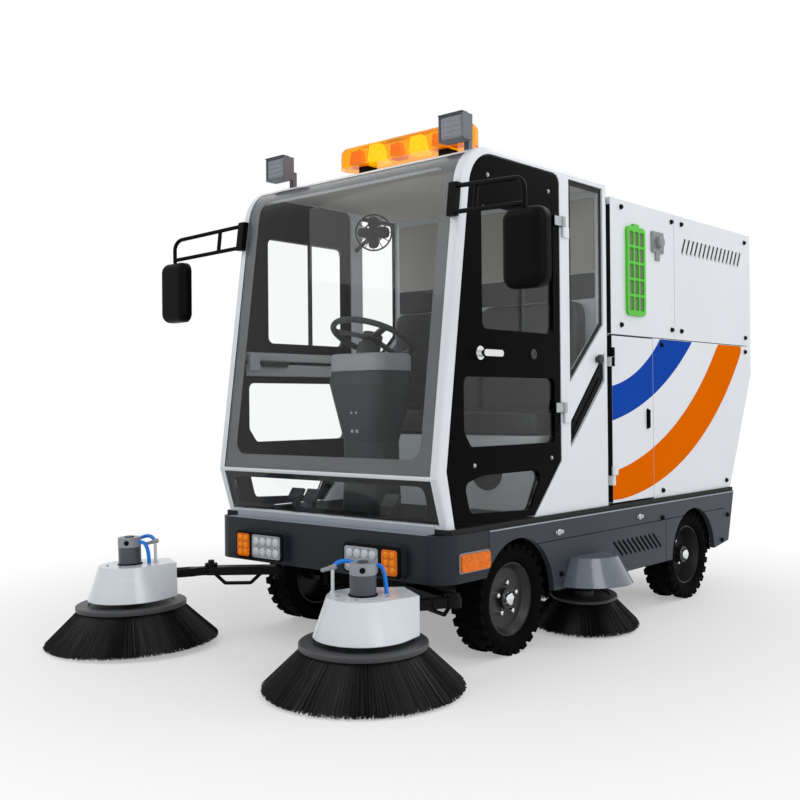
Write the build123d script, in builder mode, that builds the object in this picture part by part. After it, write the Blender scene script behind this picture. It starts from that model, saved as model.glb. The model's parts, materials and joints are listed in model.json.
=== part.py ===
"""Street sweeper truck: glazed cab, panelled rear body, grey skirt, arm-mounted front brushes.

+X points forward, +Y to the vehicle's left and +Z up. The origin is on the ground below the middle.
All lengths are in millimetres.
"""

import os
from math import cos, radians, sin

from build123d import *

os.makedirs("parts", exist_ok=True)

SIDES = [("left", 1), ("right", -1)]
LOW = (Align.CENTER, Align.CENTER, Align.MIN)

# Driving dimensions
HALF_CAB = 641
SKIRT_PROUD = 20
HALF_SKIRT = HALF_CAB + SKIRT_PROUD
FRAME_DEPTH = 40
FRAME_ROUND = 14
PANEL = 30
SEAM = 4
GROUND_GAP = 3
ROOF_Z = 2035
DECK_TOP = 548
DECK_THICK = 20
DECK_BOTTOM = DECK_TOP - DECK_THICK

FRONT_AXLE_X = 575
REAR_AXLE_X = -1005
TYRE_R = 226
TYRE_HALF = 77.5
RIM_R = 150
WHEEL_INSET = 104
WHEEL_Y = HALF_SKIRT - WHEEL_INSET
STUB_R = 20
FIT = 0.05

CAB_REAR = -170
CAB_KINK = (1065, 742)
CAB_FOOT = (1006, DECK_TOP)
SCREEN_TOP_X = 886
ROOF_CORNER_R = 180
CAB_INNER = HALF_CAB - FRAME_DEPTH

BODY_FRONT = -210
BODY_REAR = -1802
BODY_TOP = 1979
BODY_KINK_Z = 1180
BODY_FOOT_X = -1502
BODY_INNER = HALF_CAB - PANEL
SEAM_Z = 1340
UPPER_SEAM_X = -852
LOWER_SEAM_X = -612


def save(part, name):
    """Label a finished piece and write it to its own file."""
    part.label = name
    export_step(part, f"parts/{name}.step")


def flank(sign, half_width):
    """Upright plane on one flank, from which extrude(amount=sign * t) goes inward by t."""
    return Plane.XZ.offset(-sign * half_width)


def brush_plane(x, y, sign, tilt, tip_r):
    """Road-level plane of a brush whose axis leans forward and outward."""
    lean = radians(tilt)
    ahead = cos(radians(45))
    out = sign * sin(radians(45))
    return Plane(
        origin=(x, y, GROUND_GAP + tip_r * sin(lean)),
        x_dir=(cos(lean) * ahead, cos(lean) * out, -sin(lean)),
        z_dir=(sin(lean) * ahead, sin(lean) * out, cos(lean)),
    )


def upright(plane):
    """The plane through the axis of a brush, with its axis as the local Y."""
    return Plane(plane.origin, x_dir=plane.x_dir, z_dir=-plane.y_dir)


# Chassis frame: two rails, cross members, arm pins, middle brush beams and roller hangers

RAIL_INSET = 341
RAIL_Y = HALF_CAB - RAIL_INSET
RAIL_WIDTH = 60
RAIL_OUTER = RAIL_Y + RAIL_WIDTH / 2
RAIL_BOTTOM = 400
RAIL_FRONT = 950
RAIL_REAR = -1450
CROSS_Z = 465
CROSS_HEIGHT = 70
CROSS_WIDTH = 60
CROSS_X = [900, 120, -720, -1420]

ARM_PIN_X = 925
ARM_PIN_OUT = 100
ARM_PIN_Y = RAIL_Y + ARM_PIN_OUT
ARM_PIN_R = 14
ARM_PIN_FOOT = 250
LUG_LENGTH = 80
LUG_HEIGHT = 60
LUG_END = 30
LUG_OUTER = ARM_PIN_Y + LUG_END
ARM_COLLAR_R = 24
ARM_COLLAR = 10
JACK_X = [300, -1250]
JACK_LENGTH = 90
JACK_DEPTH = 12

MID_BRUSH_X = -60
MID_BRUSH_INSET = 91
MID_BRUSH_Y = HALF_SKIRT - MID_BRUSH_INSET
MID_TILT = 5
MID_TIP_R = 255
MID_BOSS_R = 38
MID_BOSS_FOOT = 245
MID_BOSS_HEIGHT = 80
SPINDLE_R = 12
BEAM_Z = 290
BEAM_HEIGHT = 40

ROLLER_X = -480
ROLLER_R = 180
ROLLER_LIFT = 5
ROLLER_Z = ROLLER_R + ROLLER_LIFT
ROLLER_GAP = 20
ROLLER_SHAFT_R = 18
HANGER_OUT = 130
HANGER_Y = RAIL_Y + HANGER_OUT
HANGER_THICK = 20
HANGER_WIDTH = 90
ROLLER_HALF = HANGER_Y - HANGER_THICK / 2 - ROLLER_GAP

mid_planes = {}
for name, sign in SIDES:
    mid_planes[name] = brush_plane(MID_BRUSH_X, sign * MID_BRUSH_Y, sign, MID_TILT, MID_TIP_R)

with BuildPart() as chassis_frame:
    rail_mid = (RAIL_FRONT + RAIL_REAR) / 2
    with Locations((rail_mid, RAIL_Y, RAIL_BOTTOM), (rail_mid, -RAIL_Y, RAIL_BOTTOM)):
        Box(RAIL_FRONT - RAIL_REAR, RAIL_WIDTH, DECK_BOTTOM - RAIL_BOTTOM, align=LOW)
    with Locations([(x, 0, CROSS_Z) for x in CROSS_X]):
        Box(CROSS_WIDTH, 2 * RAIL_Y, CROSS_HEIGHT)
    with Locations((ROLLER_X, 0, CROSS_Z)):
        Box(HANGER_WIDTH, 2 * HANGER_Y, CROSS_HEIGHT)
    with Locations([(x, sign * RAIL_Y, RAIL_BOTTOM) for x in JACK_X for name, sign in SIDES]):
        Box(JACK_LENGTH, RAIL_WIDTH, JACK_DEPTH, align=(Align.CENTER, Align.CENTER, Align.MAX))
    for name, sign in SIDES:
        with Locations((ARM_PIN_X, sign * (RAIL_Y + LUG_OUTER) / 2, RAIL_BOTTOM)):
            Box(LUG_LENGTH, LUG_OUTER - RAIL_Y, LUG_HEIGHT, align=LOW)
        with Locations((ARM_PIN_X, sign * ARM_PIN_Y, ARM_PIN_FOOT)):
            Cylinder(ARM_PIN_R, RAIL_BOTTOM + LUG_HEIGHT / 2 - ARM_PIN_FOOT, align=LOW)
            Cylinder(ARM_COLLAR_R, ARM_COLLAR, align=LOW)
        with Locations((MID_BRUSH_X, sign * (RAIL_Y + MID_BRUSH_Y) / 2, BEAM_Z)):
            Box(CROSS_WIDTH, MID_BRUSH_Y - RAIL_Y, BEAM_HEIGHT, align=LOW)
        with Locations((MID_BRUSH_X, sign * RAIL_Y, BEAM_Z)):
            Box(CROSS_WIDTH, RAIL_WIDTH, CROSS_Z - BEAM_Z, align=LOW)
        with BuildSketch(mid_planes[name].offset(MID_BOSS_FOOT)):
            Circle(MID_BOSS_R)
        extrude(amount=MID_BOSS_HEIGHT)
        with BuildSketch(mid_planes[name].offset(MID_BOSS_FOOT)):
            Circle(SPINDLE_R + FIT)
        extrude(amount=MID_BOSS_HEIGHT, mode=Mode.SUBTRACT)
        hanger_foot = ROLLER_Z - HANGER_WIDTH / 2
        with Locations((ROLLER_X, sign * HANGER_Y, hanger_foot)):
            Box(HANGER_WIDTH, HANGER_THICK, CROSS_Z + CROSS_HEIGHT / 2 - hanger_foot, align=LOW)
        with Locations(Location((ROLLER_X, sign * HANGER_Y, ROLLER_Z), (90, 0, 0))):
            Cylinder(ROLLER_SHAFT_R + FIT, 2 * HANGER_THICK, mode=Mode.SUBTRACT)
save(chassis_frame.part, "chassis_frame")

# Middle brushes under the skirt hoods

MID_PLATE_R = 150
MID_PLATE_Z = 118
MID_PLATE_THICK = 14
MID_BAND = 70

for name, sign in SIDES:
    with BuildPart() as mid_brush:
        with BuildSketch(mid_planes[name].offset(MID_PLATE_Z)):
            Circle(MID_PLATE_R)
        extrude(amount=MID_PLATE_THICK)
        with BuildSketch(mid_planes[name].offset(MID_PLATE_Z)):
            Circle(SPINDLE_R)
        extrude(amount=MID_BOSS_FOOT + MID_BOSS_HEIGHT - MID_PLATE_Z)
        with BuildSketch(upright(mid_planes[name])):
            with BuildLine():
                Polyline(
                    (MID_PLATE_R - MID_BAND, MID_PLATE_Z),
                    (MID_PLATE_R, MID_PLATE_Z),
                    (MID_TIP_R, 0),
                    (MID_TIP_R - MID_BAND, 0),
                    close=True,
                )
            make_face()
        revolve(axis=Axis(mid_planes[name].origin, mid_planes[name].z_dir))
    save(mid_brush.part, f"mid_brush_{name}")

# Main roller: bristle drum on a through shaft

with BuildPart() as main_roller:
    with Locations(Location((ROLLER_X, 0, ROLLER_Z), (90, 0, 0))):
        Cylinder(ROLLER_R, 2 * ROLLER_HALF)
        Cylinder(ROLLER_SHAFT_R, 2 * (HANGER_Y + HANGER_THICK / 2))
save(main_roller.part, "main_roller")

# Front arms, hoods, motors and brushes. The left arm is folded in, the right one reaches out

INNER_LENGTH = 300
OUTER_LENGTH = 345
ARM_Z = 290
ARM_HEIGHT = 36
ARM_HUB_R = 34
LIFT_PIN_X = 78
LIFT_PIN_R = 9
LIFT_BLOCK = 36
CHEEK = 10
CHEEK_GAP = 0.5
PIN_HEAD = 6
PIN_HEAD_R = 15
BOSS_R = 28
BOSS_HEIGHT = 14
STAY_R = 8
STAY_DROP = 58
STAY_INSET = 62
BRUSH_TILT = 1.5
BRUSH_TIP_R = 372
RING_R = 234
RING_Z = 146
RING_THICK = 20
BRISTLE_BAND = 90
HOOD_FOOT = 186
HOOD_TOP = 329
HOOD_FOOT_R = 182
HOOD_TOP_R = 132
HOOD_WALL = 6
HOOD_REACH = 180
HOOD_END_HALF = 84
PAD_R = 70
PAD_THICK = 50
MOTOR_R = 48
MOTOR_RISE = 116
MOTOR_TOP = HOOD_TOP + MOTOR_RISE
CAP_HEIGHT = 40
CAP_GROOVE = 3
CAP_PLUG_R = 20
BRUSH_HUB_R = 45


def hood_outline(radius, wall):
    """Outline of a brush hood at one height: round, drawn out to a flat end; a wall leaves that end open."""
    with BuildSketch() as outline:
        Circle(radius)
        with Locations((HOOD_REACH, 0)):
            Rectangle(SEAM, 2 * (HOOD_END_HALF - wall), align=(Align.MIN, Align.CENTER))
        make_hull()
        if wall:
            with Locations((HOOD_REACH, 0)):
                Rectangle(2 * SEAM, 2 * (HOOD_END_HALF - wall), align=(Align.MIN, Align.CENTER))
    return outline.sketch


# side, sign, angle of the inner arm and of the outer arm from straight ahead, outward positive
FRONT_ARMS = [("left", 1, 68.6, -29.4), ("right", -1, 47.5, 25.6)]

for name, sign, inner_angle, outer_angle in FRONT_ARMS:
    inner_dir = Vector(cos(radians(inner_angle)), sign * sin(radians(inner_angle)), 0)
    outer_dir = Vector(cos(radians(outer_angle)), sign * sin(radians(outer_angle)), 0)
    pivot = Vector(ARM_PIN_X, sign * ARM_PIN_Y, ARM_Z)
    elbow = pivot + inner_dir * INNER_LENGTH
    centre = elbow + outer_dir * OUTER_LENGTH
    inner_plane = Plane(pivot, x_dir=inner_dir, z_dir=(0, 0, 1))
    outer_plane = Plane(elbow, x_dir=outer_dir, z_dir=(0, 0, 1))
    head = brush_plane(centre.X, centre.Y, sign, BRUSH_TILT, BRUSH_TIP_R)
    lift_side = Plane(elbow, x_dir=outer_dir, z_dir=outer_plane.y_dir)

    with BuildPart() as inner_arm:
        with BuildSketch(inner_plane.offset(-ARM_HEIGHT / 2)):
            with Locations((INNER_LENGTH / 2, 0)):
                SlotOverall(INNER_LENGTH + 2 * ARM_HUB_R, 2 * ARM_HUB_R)
        extrude(amount=ARM_HEIGHT)
        with BuildSketch(outer_plane.offset(-ARM_HEIGHT / 2)):
            with Locations((LIFT_PIN_X / 2, 0)):
                Rectangle(LIFT_PIN_X + LIFT_BLOCK, LIFT_BLOCK)
        extrude(amount=ARM_HEIGHT)
        with BuildSketch(lift_side.offset(-LIFT_BLOCK / 2 - CHEEK_GAP - CHEEK)):
            with Locations((LIFT_PIN_X, 0)):
                Circle(LIFT_PIN_R)
        extrude(amount=LIFT_BLOCK + 2 * (CHEEK_GAP + CHEEK))
        for side in (-1, 1):
            with BuildSketch(lift_side.offset(side * (LIFT_BLOCK / 2 + 2 * CHEEK_GAP + CHEEK))):
                with Locations((LIFT_PIN_X, 0)):
                    Circle(LIFT_PIN_R)
            extrude(amount=-side * CHEEK)
            with BuildSketch(lift_side.offset(side * (LIFT_BLOCK / 2 + 2 * CHEEK_GAP + CHEEK))):
                with Locations((LIFT_PIN_X, 0)):
                    RegularPolygon(PIN_HEAD_R, 6)
            extrude(amount=side * PIN_HEAD)
        with BuildSketch(outer_plane.offset(ARM_HEIGHT / 2)):
            Circle(BOSS_R)
        extrude(amount=BOSS_HEIGHT)
        with BuildSketch(outer_plane.offset(ARM_HEIGHT / 2 + BOSS_HEIGHT)):
            RegularPolygon(BOSS_R / 2, 6)
        extrude(amount=BOSS_HEIGHT)
        with BuildLine(Plane(pivot, x_dir=inner_dir, z_dir=-inner_plane.y_dir)) as stay:
            FilletPolyline(
                (STAY_INSET, 0),
                (2 * STAY_INSET, -STAY_DROP),
                (INNER_LENGTH - STAY_INSET, -STAY_DROP),
                (INNER_LENGTH, 0),
                radius=2 * STAY_R,
            )
        with BuildSketch(Plane(stay.line @ 0, z_dir=stay.line % 0)):
            Circle(STAY_R)
        sweep(path=stay.line)
        with BuildSketch(inner_plane.offset(-ARM_HEIGHT / 2)):
            Circle(ARM_PIN_R + FIT)
        extrude(amount=ARM_HEIGHT, mode=Mode.SUBTRACT)
    save(inner_arm.part, f"inner_arm_{name}")

    with BuildPart() as outer_arm:
        for side in (-1, 1):
            inner_face = side * (LIFT_BLOCK / 2 + CHEEK_GAP)
            with BuildSketch(lift_side.offset(inner_face)):
                with Locations((OUTER_LENGTH / 2 + LIFT_PIN_X / 2, 0)):
                    SlotOverall(OUTER_LENGTH - LIFT_PIN_X + ARM_HEIGHT, ARM_HEIGHT)
                with Locations((LIFT_PIN_X, 0)):
                    Circle(LIFT_PIN_R + FIT, mode=Mode.SUBTRACT)
            extrude(amount=side * CHEEK)
        with BuildSketch(head.offset(HOOD_TOP - HOOD_WALL - PAD_THICK)):
            Circle(PAD_R)
        extrude(amount=PAD_THICK)
        with BuildSketch(head):
            Circle(SPINDLE_R + FIT)
        extrude(amount=HOOD_TOP, mode=Mode.SUBTRACT)
    save(outer_arm.part, f"outer_arm_{name}")

    to_arm = head.z_dir * outer_dir.dot(head.z_dir) - outer_dir
    hood_frame = Plane(head.origin, x_dir=to_arm, z_dir=head.z_dir)
    with BuildPart() as brush_hood:
        for wall, mode in [(0, Mode.ADD), (HOOD_WALL, Mode.SUBTRACT)]:
            with BuildSketch(hood_frame.offset(HOOD_FOOT)):
                add(hood_outline(HOOD_FOOT_R - wall, wall))
            with BuildSketch(hood_frame.offset(HOOD_TOP - wall)):
                add(hood_outline(HOOD_TOP_R - wall, wall))
            loft(ruled=True, mode=mode)
        with BuildSketch(hood_frame.offset(HOOD_TOP)):
            Circle(SPINDLE_R + SEAM)
        extrude(amount=-HOOD_WALL, mode=Mode.SUBTRACT)
    save(brush_hood.part, f"brush_hood_{name}")

    with BuildPart() as brush_motor:
        with BuildSketch(upright(head)):
            with BuildLine():
                Polyline(
                    (0, HOOD_TOP),
                    (MOTOR_R, HOOD_TOP),
                    (MOTOR_R, MOTOR_TOP - CAP_HEIGHT),
                    (MOTOR_R - CAP_GROOVE, MOTOR_TOP - CAP_HEIGHT),
                    (MOTOR_R - CAP_GROOVE, MOTOR_TOP - CAP_HEIGHT + CAP_GROOVE),
                    (MOTOR_R, MOTOR_TOP - CAP_HEIGHT + CAP_GROOVE),
                    (MOTOR_R, MOTOR_TOP - 2 * CAP_GROOVE),
                    (MOTOR_R - 2 * CAP_GROOVE, MOTOR_TOP),
                    (0, MOTOR_TOP),
                    close=True,
                )
            make_face()
        revolve(axis=Axis(head.origin, head.z_dir))
        with BuildSketch(head.offset(MOTOR_TOP)):
            Circle(CAP_PLUG_R)
        extrude(amount=2 * CAP_GROOVE)
    save(brush_motor.part, f"brush_motor_{name}")

    with BuildPart() as front_brush:
        with BuildSketch(head.offset(RING_Z)):
            Circle(RING_R)
        extrude(amount=RING_THICK)
        with BuildSketch(head.offset(RING_Z)):
            Circle(BRUSH_HUB_R)
        extrude(amount=2 * RING_THICK)
        with BuildSketch(head.offset(RING_Z)):
            Circle(SPINDLE_R)
        extrude(amount=HOOD_TOP - HOOD_WALL - RING_Z)
        with BuildSketch(upright(head)):
            with BuildLine():
                Polyline(
                    (RING_R - BRISTLE_BAND, RING_Z),
                    (RING_R, RING_Z),
                    (BRUSH_TIP_R, 0),
                    (BRUSH_TIP_R - BRISTLE_BAND, 0),
                    close=True,
                )
            make_face()
        revolve(axis=Axis(head.origin, head.z_dir))
    save(front_brush.part, f"front_brush_{name}")

# Running gear: front axle with king pins, knuckles, rear axle, rims and tyres

KING_PIN_INSET = 107
KING_PIN_Y = WHEEL_Y - KING_PIN_INSET
KING_PIN_R = 14
AXLE_SIZE = 60
YOKE_HEIGHT = 150
YOKE_PLATE = 20
KNUCKLE_SIZE = 64
REAR_TUBE_R = 45
REAR_TUBE_INSET = 105
REAR_TUBE_HALF = WHEEL_Y - REAR_TUBE_INSET
HANGER_SIZE = 60
HUB_R = 42
HUB_INNER = -40
HUB_OUTER = 46
STUB_END = 36
STUB_END_GAP = 2
KNUCKLE_PLAY = 2

with BuildPart() as front_axle:
    with Locations((FRONT_AXLE_X, 0, TYRE_R)):
        Box(AXLE_SIZE, 2 * (KING_PIN_Y - KNUCKLE_SIZE), AXLE_SIZE)
    with Locations((FRONT_AXLE_X, RAIL_Y, TYRE_R), (FRONT_AXLE_X, -RAIL_Y, TYRE_R)):
        Box(HANGER_SIZE, HANGER_SIZE, RAIL_BOTTOM - TYRE_R, align=LOW)
    for name, sign in SIDES:
        with Locations((FRONT_AXLE_X, sign * (KING_PIN_Y - KNUCKLE_SIZE), TYRE_R)):
            Box(AXLE_SIZE, YOKE_PLATE, YOKE_HEIGHT)
        plate_z = YOKE_HEIGHT / 2 - YOKE_PLATE / 2
        with Locations(
            (FRONT_AXLE_X, sign * (KING_PIN_Y - KNUCKLE_SIZE / 2), TYRE_R + plate_z),
            (FRONT_AXLE_X, sign * (KING_PIN_Y - KNUCKLE_SIZE / 2), TYRE_R - plate_z),
        ):
            Box(AXLE_SIZE, KNUCKLE_SIZE + 2 * YOKE_PLATE, YOKE_PLATE)
        with Locations((FRONT_AXLE_X, sign * KING_PIN_Y, TYRE_R)):
            Cylinder(KING_PIN_R, YOKE_HEIGHT)
save(front_axle.part, "front_axle")

with BuildPart() as rear_axle:
    with Locations(Location((REAR_AXLE_X, 0, TYRE_R), (90, 0, 0))):
        Cylinder(REAR_TUBE_R, 2 * REAR_TUBE_HALF)
        Cylinder(2 * REAR_TUBE_R, 4 * REAR_TUBE_R)
        Cylinder(STUB_R, 2 * (WHEEL_Y + STUB_END))
    with Locations((REAR_AXLE_X, RAIL_Y, TYRE_R), (REAR_AXLE_X, -RAIL_Y, TYRE_R)):
        Box(HANGER_SIZE, HANGER_SIZE, RAIL_BOTTOM - TYRE_R, align=LOW)
save(rear_axle.part, "rear_axle")

KNUCKLE_HEIGHT = YOKE_HEIGHT - 2 * YOKE_PLATE - KNUCKLE_PLAY

for name, sign in SIDES:
    with BuildPart() as knuckle:
        with Locations((FRONT_AXLE_X, sign * KING_PIN_Y, TYRE_R)):
            Cylinder(KNUCKLE_SIZE / 2, KNUCKLE_HEIGHT)
        with BuildSketch(Plane.XZ.offset(-sign * KING_PIN_Y)):
            with Locations((FRONT_AXLE_X, TYRE_R)):
                Circle(STUB_R)
        extrude(amount=-sign * (WHEEL_Y + STUB_END - KING_PIN_Y))
        with Locations((FRONT_AXLE_X, sign * KING_PIN_Y, TYRE_R)):
            Cylinder(KING_PIN_R + FIT, YOKE_HEIGHT, mode=Mode.SUBTRACT)
    save(knuckle.part, f"knuckle_{name}")

RIM_WALL = 7
DISC_THICK = 8
# axle name, station, outward place of the wheel disc
AXLES = [("front", FRONT_AXLE_X, 20), ("rear", REAR_AXLE_X, -22)]
WHEELS = [(axle, x, disc, name, sign) for axle, x, disc in AXLES for name, sign in SIDES]
BEAD_HALF = 56
CROWN_HALF = 60
CROWN_R = 216
WAIST_R = 186
TREAD_LUGS = 26
TREAD_LUG = 30
TREAD_LUG_WIDTH = 40
LUG_SINK = 14
LUG_MARGIN = 5
LUG_Y = TYRE_HALF - TREAD_LUG_WIDTH / 2 - LUG_MARGIN

for axle, axle_x, disc, name, sign in WHEELS:
    hub_centre = Vector(axle_x, sign * WHEEL_Y, TYRE_R)
    section = Plane(hub_centre, x_dir=(0, sign, 0), z_dir=(sign, 0, 0))
    wheel_axis = Axis(hub_centre, (0, sign, 0))
    with BuildPart() as rim:
        with BuildSketch(section):
            with BuildLine():
                Polyline(
                    (-BEAD_HALF, RIM_R),
                    (BEAD_HALF, RIM_R),
                    (BEAD_HALF, RIM_R - RIM_WALL),
                    (disc + DISC_THICK, RIM_R - 4 * RIM_WALL),
                    (disc + DISC_THICK, HUB_R),
                    (HUB_OUTER, HUB_R),
                    (HUB_OUTER, 0),
                    (STUB_END + STUB_END_GAP, 0),
                    (STUB_END + STUB_END_GAP, STUB_R + FIT),
                    (HUB_INNER, STUB_R + FIT),
                    (HUB_INNER, HUB_R),
                    (disc, HUB_R),
                    (disc, RIM_R - 4 * RIM_WALL),
                    (-BEAD_HALF, RIM_R - RIM_WALL),
                    close=True,
                )
            make_face()
        revolve(axis=wheel_axis)
    save(rim.part, f"rim_{axle}_{name}")

    with BuildPart() as tyre:
        with BuildSketch(section):
            with BuildLine():
                Line((-BEAD_HALF, RIM_R), (BEAD_HALF, RIM_R))
                ThreePointArc((BEAD_HALF, RIM_R), (TYRE_HALF, WAIST_R), (CROWN_HALF, CROWN_R))
                Line((CROWN_HALF, CROWN_R), (-CROWN_HALF, CROWN_R))
                ThreePointArc((-CROWN_HALF, CROWN_R), (-TYRE_HALF, WAIST_R), (-BEAD_HALF, RIM_R))
            make_face()
        revolve(axis=wheel_axis)
        for row, half_step in [(1, 0), (-1, 0.5)]:
            shoulder = Plane(hub_centre + Vector(0, row * LUG_Y, 0), x_dir=(1, 0, 0), z_dir=(0, 1, 0))
            with BuildSketch(shoulder):
                lug_r = (CROWN_R - LUG_SINK + TYRE_R) / 2
                with PolarLocations(lug_r, TREAD_LUGS, start_angle=half_step * 360 / TREAD_LUGS):
                    Rectangle(TYRE_R - CROWN_R + LUG_SINK, TREAD_LUG)
            extrude(amount=TREAD_LUG_WIDTH / 2, both=True)
    save(tyre.part, f"tyre_{axle}_{name}")

# Deck: the floor plate under cab and rear body, its black edge shows above the skirt

DECK_LIP = 14
DECK_HALF = HALF_CAB + DECK_LIP

with BuildPart() as deck:
    with BuildSketch(Plane.XY.offset(DECK_BOTTOM)):
        with BuildLine():
            Polyline(
                (CAB_FOOT[0], DECK_HALF),
                (BODY_FOOT_X, DECK_HALF),
                (BODY_FOOT_X, -DECK_HALF),
                (CAB_FOOT[0], -DECK_HALF),
                close=True,
            )
        make_face()
    extrude(amount=DECK_THICK)
save(deck.part, "deck")

# Front bumper: wraps round to the front arches, with a raised pod for the lamps on each side

SKIRT_WALL = 25
BUMPER_FOOT = 345
BUMPER_END = 780
BUMPER_FRONT = 1065
BUMPER_CORNER_R = 90
ARCH_R = 252
LEDGE = 12
POD_INNER = 178
POD_OUTER = 482
POD_FOOT = 358
POD_TOP = 482
POD_DEPTH = 28
POD_CORNER_R = 18

with BuildPart() as front_bumper:
    with BuildSketch(Plane.XY.offset(BUMPER_FOOT)):
        with Locations((BUMPER_END, 0)):
            Rectangle(BUMPER_FRONT - BUMPER_END, 2 * HALF_SKIRT, align=(Align.MIN, Align.CENTER))
    extrude(amount=DECK_BOTTOM - BUMPER_FOOT)
    fillet(edges().filter_by(Axis.Z).group_by(Axis.X)[-1], radius=BUMPER_CORNER_R)
    with BuildSketch(Plane.XY.offset(BUMPER_FOOT)):
        with Locations((BUMPER_END, 0)):
            Rectangle(
                BUMPER_FRONT - BUMPER_END - SKIRT_WALL,
                2 * (HALF_SKIRT - SKIRT_WALL),
                align=(Align.MIN, Align.CENTER),
            )
        fillet(vertices().group_by(Axis.X)[-1], radius=BUMPER_CORNER_R - SKIRT_WALL)
    extrude(amount=DECK_BOTTOM - BUMPER_FOOT, mode=Mode.SUBTRACT)
    with BuildSketch(Plane.XY.offset(DECK_BOTTOM - LEDGE)):
        with Locations((CAB_FOOT[0] - 2 * SKIRT_WALL, 0)):
            Rectangle(
                BUMPER_FRONT - CAB_FOOT[0] + SKIRT_WALL,
                2 * (HALF_SKIRT - BUMPER_CORNER_R),
                align=(Align.MIN, Align.CENTER),
            )
    extrude(amount=LEDGE)
    for name, sign in SIDES:
        with BuildSketch(Plane.YZ.offset(BUMPER_FRONT - SKIRT_WALL / 2)):
            with Locations((sign * (POD_INNER + POD_OUTER) / 2, (POD_FOOT + POD_TOP) / 2)):
                RectangleRounded(POD_OUTER - POD_INNER, POD_TOP - POD_FOOT, POD_CORNER_R)
        extrude(amount=POD_DEPTH + SKIRT_WALL / 2)
    with BuildSketch(flank(1, HALF_SKIRT)):
        with Locations((FRONT_AXLE_X, TYRE_R)):
            Circle(ARCH_R)
    extrude(amount=2 * HALF_SKIRT, mode=Mode.SUBTRACT)
save(front_bumper.part, "front_bumper")

# Lamps on the bumper pods, on the bumper flanks and on the rear wall

LAMP_Z = 419
LAMP_FACE = BUMPER_FRONT + POD_DEPTH
LAMP_THICK = 12
LAMP_CORNER_R = 12
HEADLAMP = (280, 177, 98)
INDICATOR = (428, 79, 98)
MARKER_X = 875
MARKER_SIZE = (180, 66)
TAIL_INSET = 71
TAIL_Y = BODY_INNER - TAIL_INSET
TAIL_Z = 1290
TAIL_SIZE = (110, 130)

with BuildPart() as front_lamps:
    for name, sign in SIDES:
        with BuildSketch(Plane.YZ.offset(LAMP_FACE)):
            with Locations((sign * HEADLAMP[0], LAMP_Z)):
                RectangleRounded(HEADLAMP[1], HEADLAMP[2], LAMP_CORNER_R)
        extrude(amount=LAMP_THICK)
save(front_lamps.part, "front_lamps")

with BuildPart() as signal_lamps:
    for name, sign in SIDES:
        with BuildSketch(Plane.YZ.offset(LAMP_FACE)):
            with Locations((sign * INDICATOR[0], LAMP_Z)):
                RectangleRounded(INDICATOR[1], INDICATOR[2], LAMP_CORNER_R)
        extrude(amount=LAMP_THICK)
        with BuildSketch(flank(sign, HALF_SKIRT)):
            with Locations((MARKER_X, LAMP_Z)):
                RectangleRounded(*MARKER_SIZE, LAMP_CORNER_R)
        extrude(amount=-sign * LAMP_THICK)
        with BuildSketch(Plane.YZ.offset(BODY_REAR)):
            with Locations((sign * TAIL_Y, TAIL_Z)):
                RectangleRounded(*TAIL_SIZE, LAMP_CORNER_R)
        extrude(amount=-LAMP_THICK)
save(signal_lamps.part, "signal_lamps")

# Side skirts with both wheel arches, slanted louvre slots and the half-cone hood over the mid brush

SKIRT_FOOT = 228
SKIRT_REAR_FOOT = (-1428, 262)
SKIRT_REAR_ARCH = (-1230, 234)
REAR_ARCH_R = 245
GROOVE_Z = 440
GROOVE_X = -695
GROOVE = 4
GROOVE_DEPTH = 8
SLOT_COUNT = 10
SLOT_FIRST_X = -220
SLOT_PITCH = -42
SLOT_LENGTH = 116
SLOT_WIDTH = 14
SLOT_Z = 346
SLOT_LEAN = 40
MID_HOOD_X = 56
MID_HOOD_FOOT_R = 198
MID_HOOD_TOP_R = 135
MID_HOOD_FOOT = 235
MID_HOOD_TOP = 352
MID_HOOD_WALL = 6

with BuildPart() as mid_hood:
    with BuildSketch(Plane.XZ.offset(-HALF_SKIRT)):
        with BuildLine():
            Polyline(
                (MID_HOOD_X, MID_HOOD_TOP),
                (MID_HOOD_X + MID_HOOD_TOP_R, MID_HOOD_TOP),
                (MID_HOOD_X + MID_HOOD_FOOT_R, MID_HOOD_FOOT),
                (MID_HOOD_X + MID_HOOD_FOOT_R - MID_HOOD_WALL, MID_HOOD_FOOT),
                (MID_HOOD_X + MID_HOOD_TOP_R - MID_HOOD_WALL, MID_HOOD_TOP - MID_HOOD_WALL),
                (MID_HOOD_X, MID_HOOD_TOP - MID_HOOD_WALL),
                close=True,
            )
        make_face()
    revolve(axis=Axis((MID_HOOD_X, HALF_SKIRT, 0), (0, 0, 1)), revolution_arc=180)

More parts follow.
